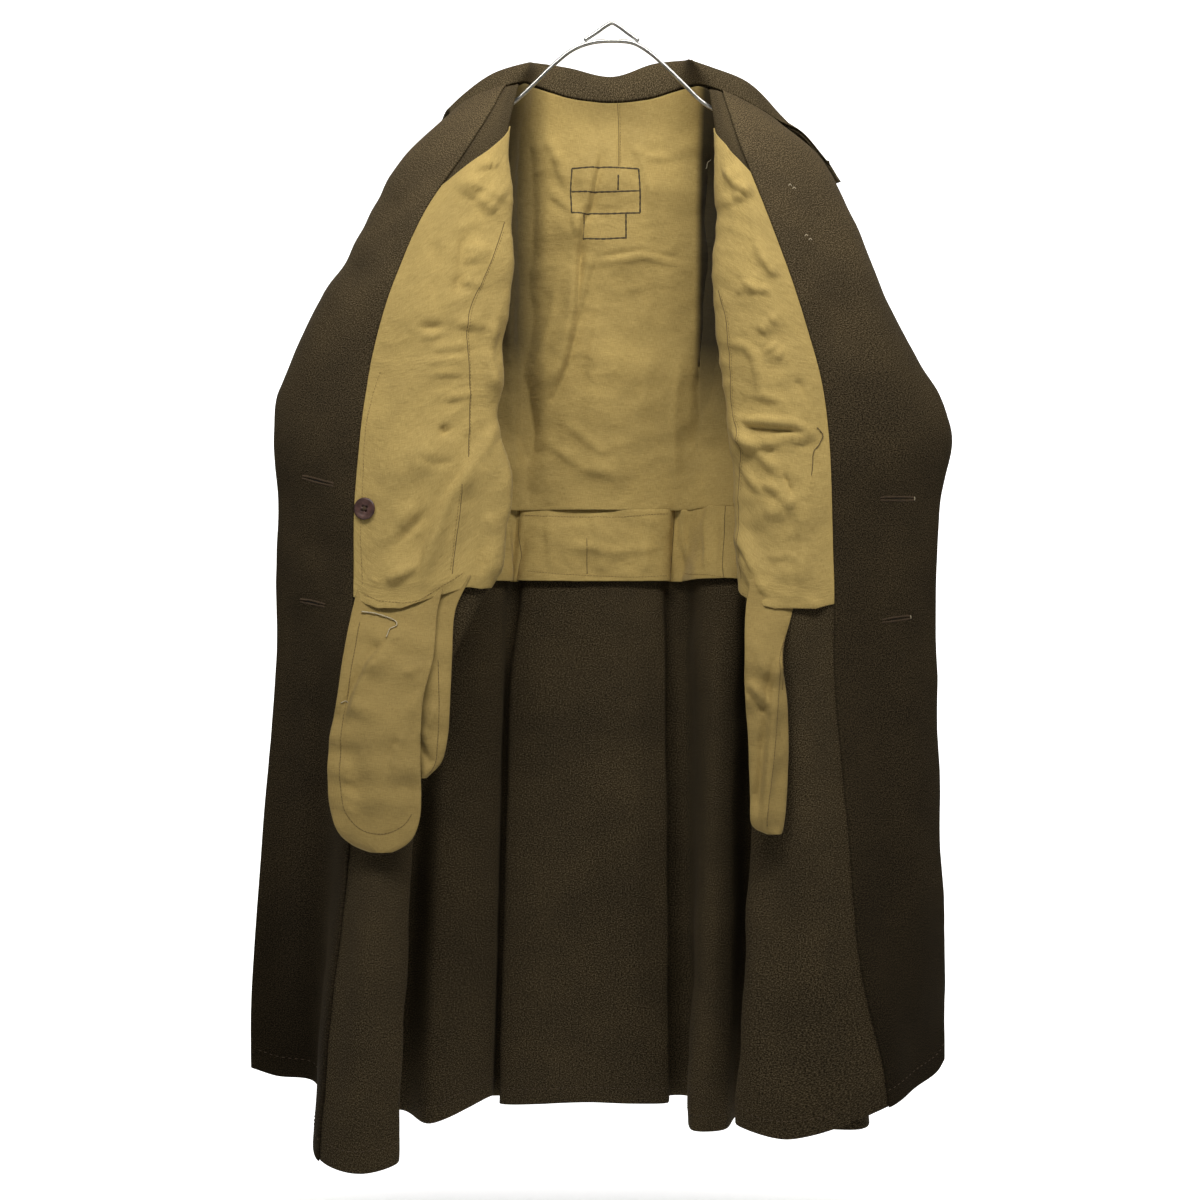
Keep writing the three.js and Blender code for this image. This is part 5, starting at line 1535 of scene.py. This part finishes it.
# the thread over a button: shares of the way to a hole, and heights as shares of the thickness
CROSSING = [(-1, -0.25), (-0.6, 0.32), (0, 0.4), (0.6, 0.32), (1, -0.25)]
BUTTON_THREAD = 0.4 * MM


def button_forms(centre, up, radius, thick):
    """The disc and the thread of a button that lies on its back against the cloth"""
    up = unit(np.array(up))
    one = unit(np.cross(up, (0.2, 0.1, 1)))
    two = np.cross(up, one)
    ring = np.linspace(0, 1, BUTTON_RINGS)
    angle = np.linspace(0, 2 * math.pi, BUTTON_SIDES, endpoint=False)
    size, turn = np.meshgrid(ring, angle, indexing="ij")
    x, y = size * radius * np.cos(turn), size * radius * np.sin(turn)
    dish = DISH_DEPTH * np.exp(-((size - DISH_PLACE) / DISH_WIDTH) ** 4)
    fall = RIM_FALL * np.clip(size - RIM_PLACE, 0, 1) ** 2
    height = thick * (0.5 - dish - fall)
    hole = radius * HOLE_PLACE
    for a, b in ((1, 1), (1, -1), (-1, 1), (-1, -1)):
        inside = HOLE_RADIUS - np.hypot(x - a * hole, y - b * hole) / radius
        height = height - thick * HOLE_DEPTH * smooth_step(inside / HOLE_SLOPE)
    height = np.maximum(height, thick * LOWEST)
    top = centre + x[..., None] * one + y[..., None] * two + height[..., None] * up
    under = centre - thick / 2 * up
    base = under + BASE_RADIUS * (x[-1, :, None] * one + y[-1, :, None] * two)
    vertices = [*top.reshape(-1, 3).tolist(), *base.tolist(), under.tolist()]
    faces = []
    for r in range(BUTTON_RINGS):
        for s in range(BUTTON_SIDES):
            t = (s + 1) % BUTTON_SIDES
            a, b = r * BUTTON_SIDES + s, r * BUTTON_SIDES + t
            faces.append((a, a + BUTTON_SIDES, b + BUTTON_SIDES, b))
    last = len(vertices) - 1
    base_start = BUTTON_RINGS * BUTTON_SIDES
    faces += [(base_start + s, last, base_start + (s + 1) % BUTTON_SIDES)
              for s in range(BUTTON_SIDES)]
    threads = []
    for a in (-1, 1):
        for shift in (-THREAD_SHIFT * radius, THREAD_SHIFT * radius):
            line = [centre + one * (part * hole + shift * a) + two * (part * hole * a - shift)
                    + up * rise * thick for part, rise in CROSSING]
            threads.append(strand(line, [BUTTON_THREAD] * len(line)))
    return (vertices, faces), threads


INNER_RADIUS, INNER_THICK = 11.5 * MM, 3.2 * MM
COAT_RADIUS, COAT_THICK = 14 * MM, 4 * MM
INNER_LIFT = 0.62              # of its thickness, that the inner button's middle lies over the cloth
# node, front table, turn of the front's normals, row, column
COAT_BUTTONS = [
    ("button_left_1", left_front, 1, 6.57, 3.26),
    ("button_left_2", left_front, 1, 8.67, 3.3),
    ("button_right_1", right_front, -1, 6.57, 3.3),
    ("button_right_2", right_front, -1, 8.67, 3.3),
]


def button(node, centre, up, radius, thick):
    """A button in the place of its CAD node, with its thread"""
    disc, threads = button_forms(centre, up, radius, thick)
    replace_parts(joined(node, [disc], button_finish), node)
    joined(node + "_thread", threads, thread_dark)


points, across = found(LEFT, [(365.5, 509), (366.5, 511)], INNER_LIFT * INNER_THICK)
button("button_inner", points[0], across[0], INNER_RADIUS, INNER_THICK)
for node, table, turn, row, column in COAT_BUTTONS:
    low, high = (np.array(corner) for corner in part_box(node))
    inward = slopes(lambda r, c: surface(table, r, c), np.array([[row]]), np.array([column]),
                    0, LAST_ROW, 0, EDGE_COLUMN, turn)[0, 0]
    button(node, (low + high) / 2, -inward, COAT_RADIUS, COAT_THICK)
print("buttons:", 1 + len(COAT_BUTTONS))

# %% [markdown]
# ## Loose threads and marks
# A few frayed ends hang where seams have come undone. On the back lining there is a plain
# ruled box in ink.

# %% Loose threads
THREAD_PITCH = 1.2 * MM
WANDER = 0.4 * MM              # how far a loose thread waves off the cloth and back
THIN_END = 0.55                # share of its radius that a thread keeps at its frayed end
MARK_RADIUS, MARK_PITCH = 0.42 * MM, 0.8 * MM
# name, cloth, material, radius in mm, height over the cloth in mm, line
LOOSE_THREADS = [
    ("thread_left_bag", BAG_LEFT_CLOTH, thread_pale, 0.75, 1.4,
     [(362, 612), (376, 614), (396, 622), (397, 626), (390, 630), (387, 638)]),
    ("thread_bag_edge", BAG_LEFT_CLOTH, thread_pale, 0.5, 0.8, [(341, 703), (345, 701), (349, 703)]),
    ("thread_right_lining", RIGHT, thread_dark, 0.45, 0.8,
     [(816, 428), (822, 435), (819, 444), (813, 452), (812, 464), (811, 476)]),
    ("thread_armhole", BACK, thread_pale, 0.5, 6.0, [(703, 168), (706, 160), (713, 156)]),
]
for name, cloth, material, radius, lift, line in LOOSE_THREADS:
    points, across = found(cloth, line, lift * MM, THREAD_PITCH)
    wander = np.sin(np.arange(len(points)) * 0.8)[:, None] * WANDER
    radii = radius * MM * np.linspace(1, THIN_END, len(points))
    joined(name, [strand(points + across * wander, radii, 7)], material)
# small arches of thread on the right facing
MARKS = [(789, 186), (793, 189), (809, 240), (805, 236)]
MARK_ARCH = [(-1.6, 1), (0, -0.6), (1.4, 1)]
forms = []
for x, y in MARKS:
    arch = [(x + right, y + down) for right, down in MARK_ARCH]
    points, across = found(RIGHT_FACING, arch, HEM_LIFT, MARK_PITCH)
    forms.append(strand(points, [MARK_RADIUS] * len(points)))
joined("thread_marks", forms, thread_pale)
print("loose threads:", len(LOOSE_THREADS), "marks:", len(MARKS))

# %% Ruled box
ink = plain_finish("ink_faded", linear(44, 38, 27), linear(84, 70, 44), 700, 0.85)
RULES = [
    [(572, 169), (600, 168), (639, 169)], [(572, 192), (600, 192), (639, 191)],
    [(572, 213), (600, 214), (640, 213)], [(572, 169), (571, 190), (572, 213)],
    [(639, 169), (640, 190), (640, 213)], [(618, 175), (618, 190)],
    [(583, 214), (583, 239)], [(626, 214), (626, 239)], [(583, 239), (604, 239), (626, 238)],
]
INK_RADIUS, INK_FLAT = 0.9 * MM, 0.1
INK_LIFT, INK_PITCH = 0.02 * MM, 1.5 * MM
INK_UNEVEN = 0.18              # how much the width of a line of ink varies
forms = []
for line in RULES:
    points, across = found(BACK, line, INK_LIFT, INK_PITCH)
    radii = INK_RADIUS * (1 + INK_UNEVEN * np.sin(np.arange(len(points)) * 1.3))
    forms.append(strand(points, radii, 6, INK_FLAT, across))
joined("ruled_box", forms, ink)
print("ruled lines:", len(RULES))

# %% [markdown]
# ## Cuts of the cloth
# Each sheet prints the size of its cut when it is built, as a maker would lay it on the bolt before
# it was sewn and hung: the width at its widest, the length from its highest to its lowest point,
# and the area, all measured along the cloth. None of it goes on unseen, but for its turnings.

# %% [markdown]
# ## Floor and light
# A pale floor that sweeps up behind, and a large soft light above and in front. The light
# falls off down the coat, as in the photograph.

# %% Floor and light
FLOOR_Z = -1.36
FLOOR_HALF = 3.5
# the floor's line from the front to the top of the background: (y, z)
SWEEP = [(-2.6, FLOOR_Z), (1.2, FLOOR_Z), (1.75, FLOOR_Z + 0.08), (2.1, FLOOR_Z + 0.35),
         (2.25, FLOOR_Z + 0.9), (2.25, 2.2)]
vertices = [(x, y, z) for y, z in SWEEP for x in (-FLOOR_HALF, FLOOR_HALF)]
faces = [(2 * k, 2 * k + 1, 2 * k + 3, 2 * k + 2) for k in range(len(SWEEP) - 1)]
floor_mesh = bpy.data.meshes.new("floor")
floor_mesh.from_pydata(vertices, [], faces)
floor = linked("floor", floor_mesh)
bend = floor.modifiers.new("bend", "SUBSURF")
bend.levels = bend.render_levels = 3
paper = Finish("paper")
paper_source = paper.node("ShaderNodeTexCoord").outputs["Object"]
mottle = paper.noise(paper_source, scale=3, detail=2)
# behind the coat the floor glows, so that the background stays white as in the photograph
depth = paper.node("ShaderNodeSeparateXYZ", Vector=paper_source).outputs["Y"]
glow = paper.node("ShaderNodeMapRange", Value=depth, From_Min=0.1, From_Max=0.34, To_Min=0.05,
                  To_Max=0.95).outputs[0]
paper.surface(Base_Color=paper.ramp(mottle, [(0, (0.9, 0.9, 0.9, 1)), (1, (0.93, 0.93, 0.93, 1))]),
              Roughness=0.9, Emission_Color=(1, 1, 1, 1), Emission_Strength=glow)
floor_mesh.materials.append(paper.material)


def soft_light(name, place, target, size, power, colour=(1, 1, 1)):
    """An area light, size (width, height), that looks at a target"""
    light = linked(name, bpy.data.lights.new(name, "AREA"))
    light.data.shape = "RECTANGLE"
    light.data.size, light.data.size_y = size
    light.data.energy = power
    light.data.color = colour
    light.location = place
    away = np.array(place) - np.array(target)
    yaw = math.atan2(away[1], away[0]) + math.radians(90)
    tilt = math.atan2(math.hypot(away[0], away[1]), away[2])
    light.rotation_euler = (tilt, 0, yaw)


soft_light("key", place=(0.1, -1.05, 0.95), target=(0, 0, -0.35), size=(2.0, 0.4), power=44,
           colour=(1, 0.97, 0.9))
soft_light("fill", place=(-1.4, -1.9, -0.1), target=(0, 0, -0.7), size=(1.0, 1.0), power=2)
world = bpy.data.worlds.new("world")
world.use_nodes = True
background = world.node_tree.nodes["Background"]
background.inputs["Color"].default_value = (1, 0.97, 0.93, 1)
background.inputs["Strength"].default_value = 0.06
bpy.context.scene.world = world
bpy.context.scene.view_settings.view_transform = "Standard"
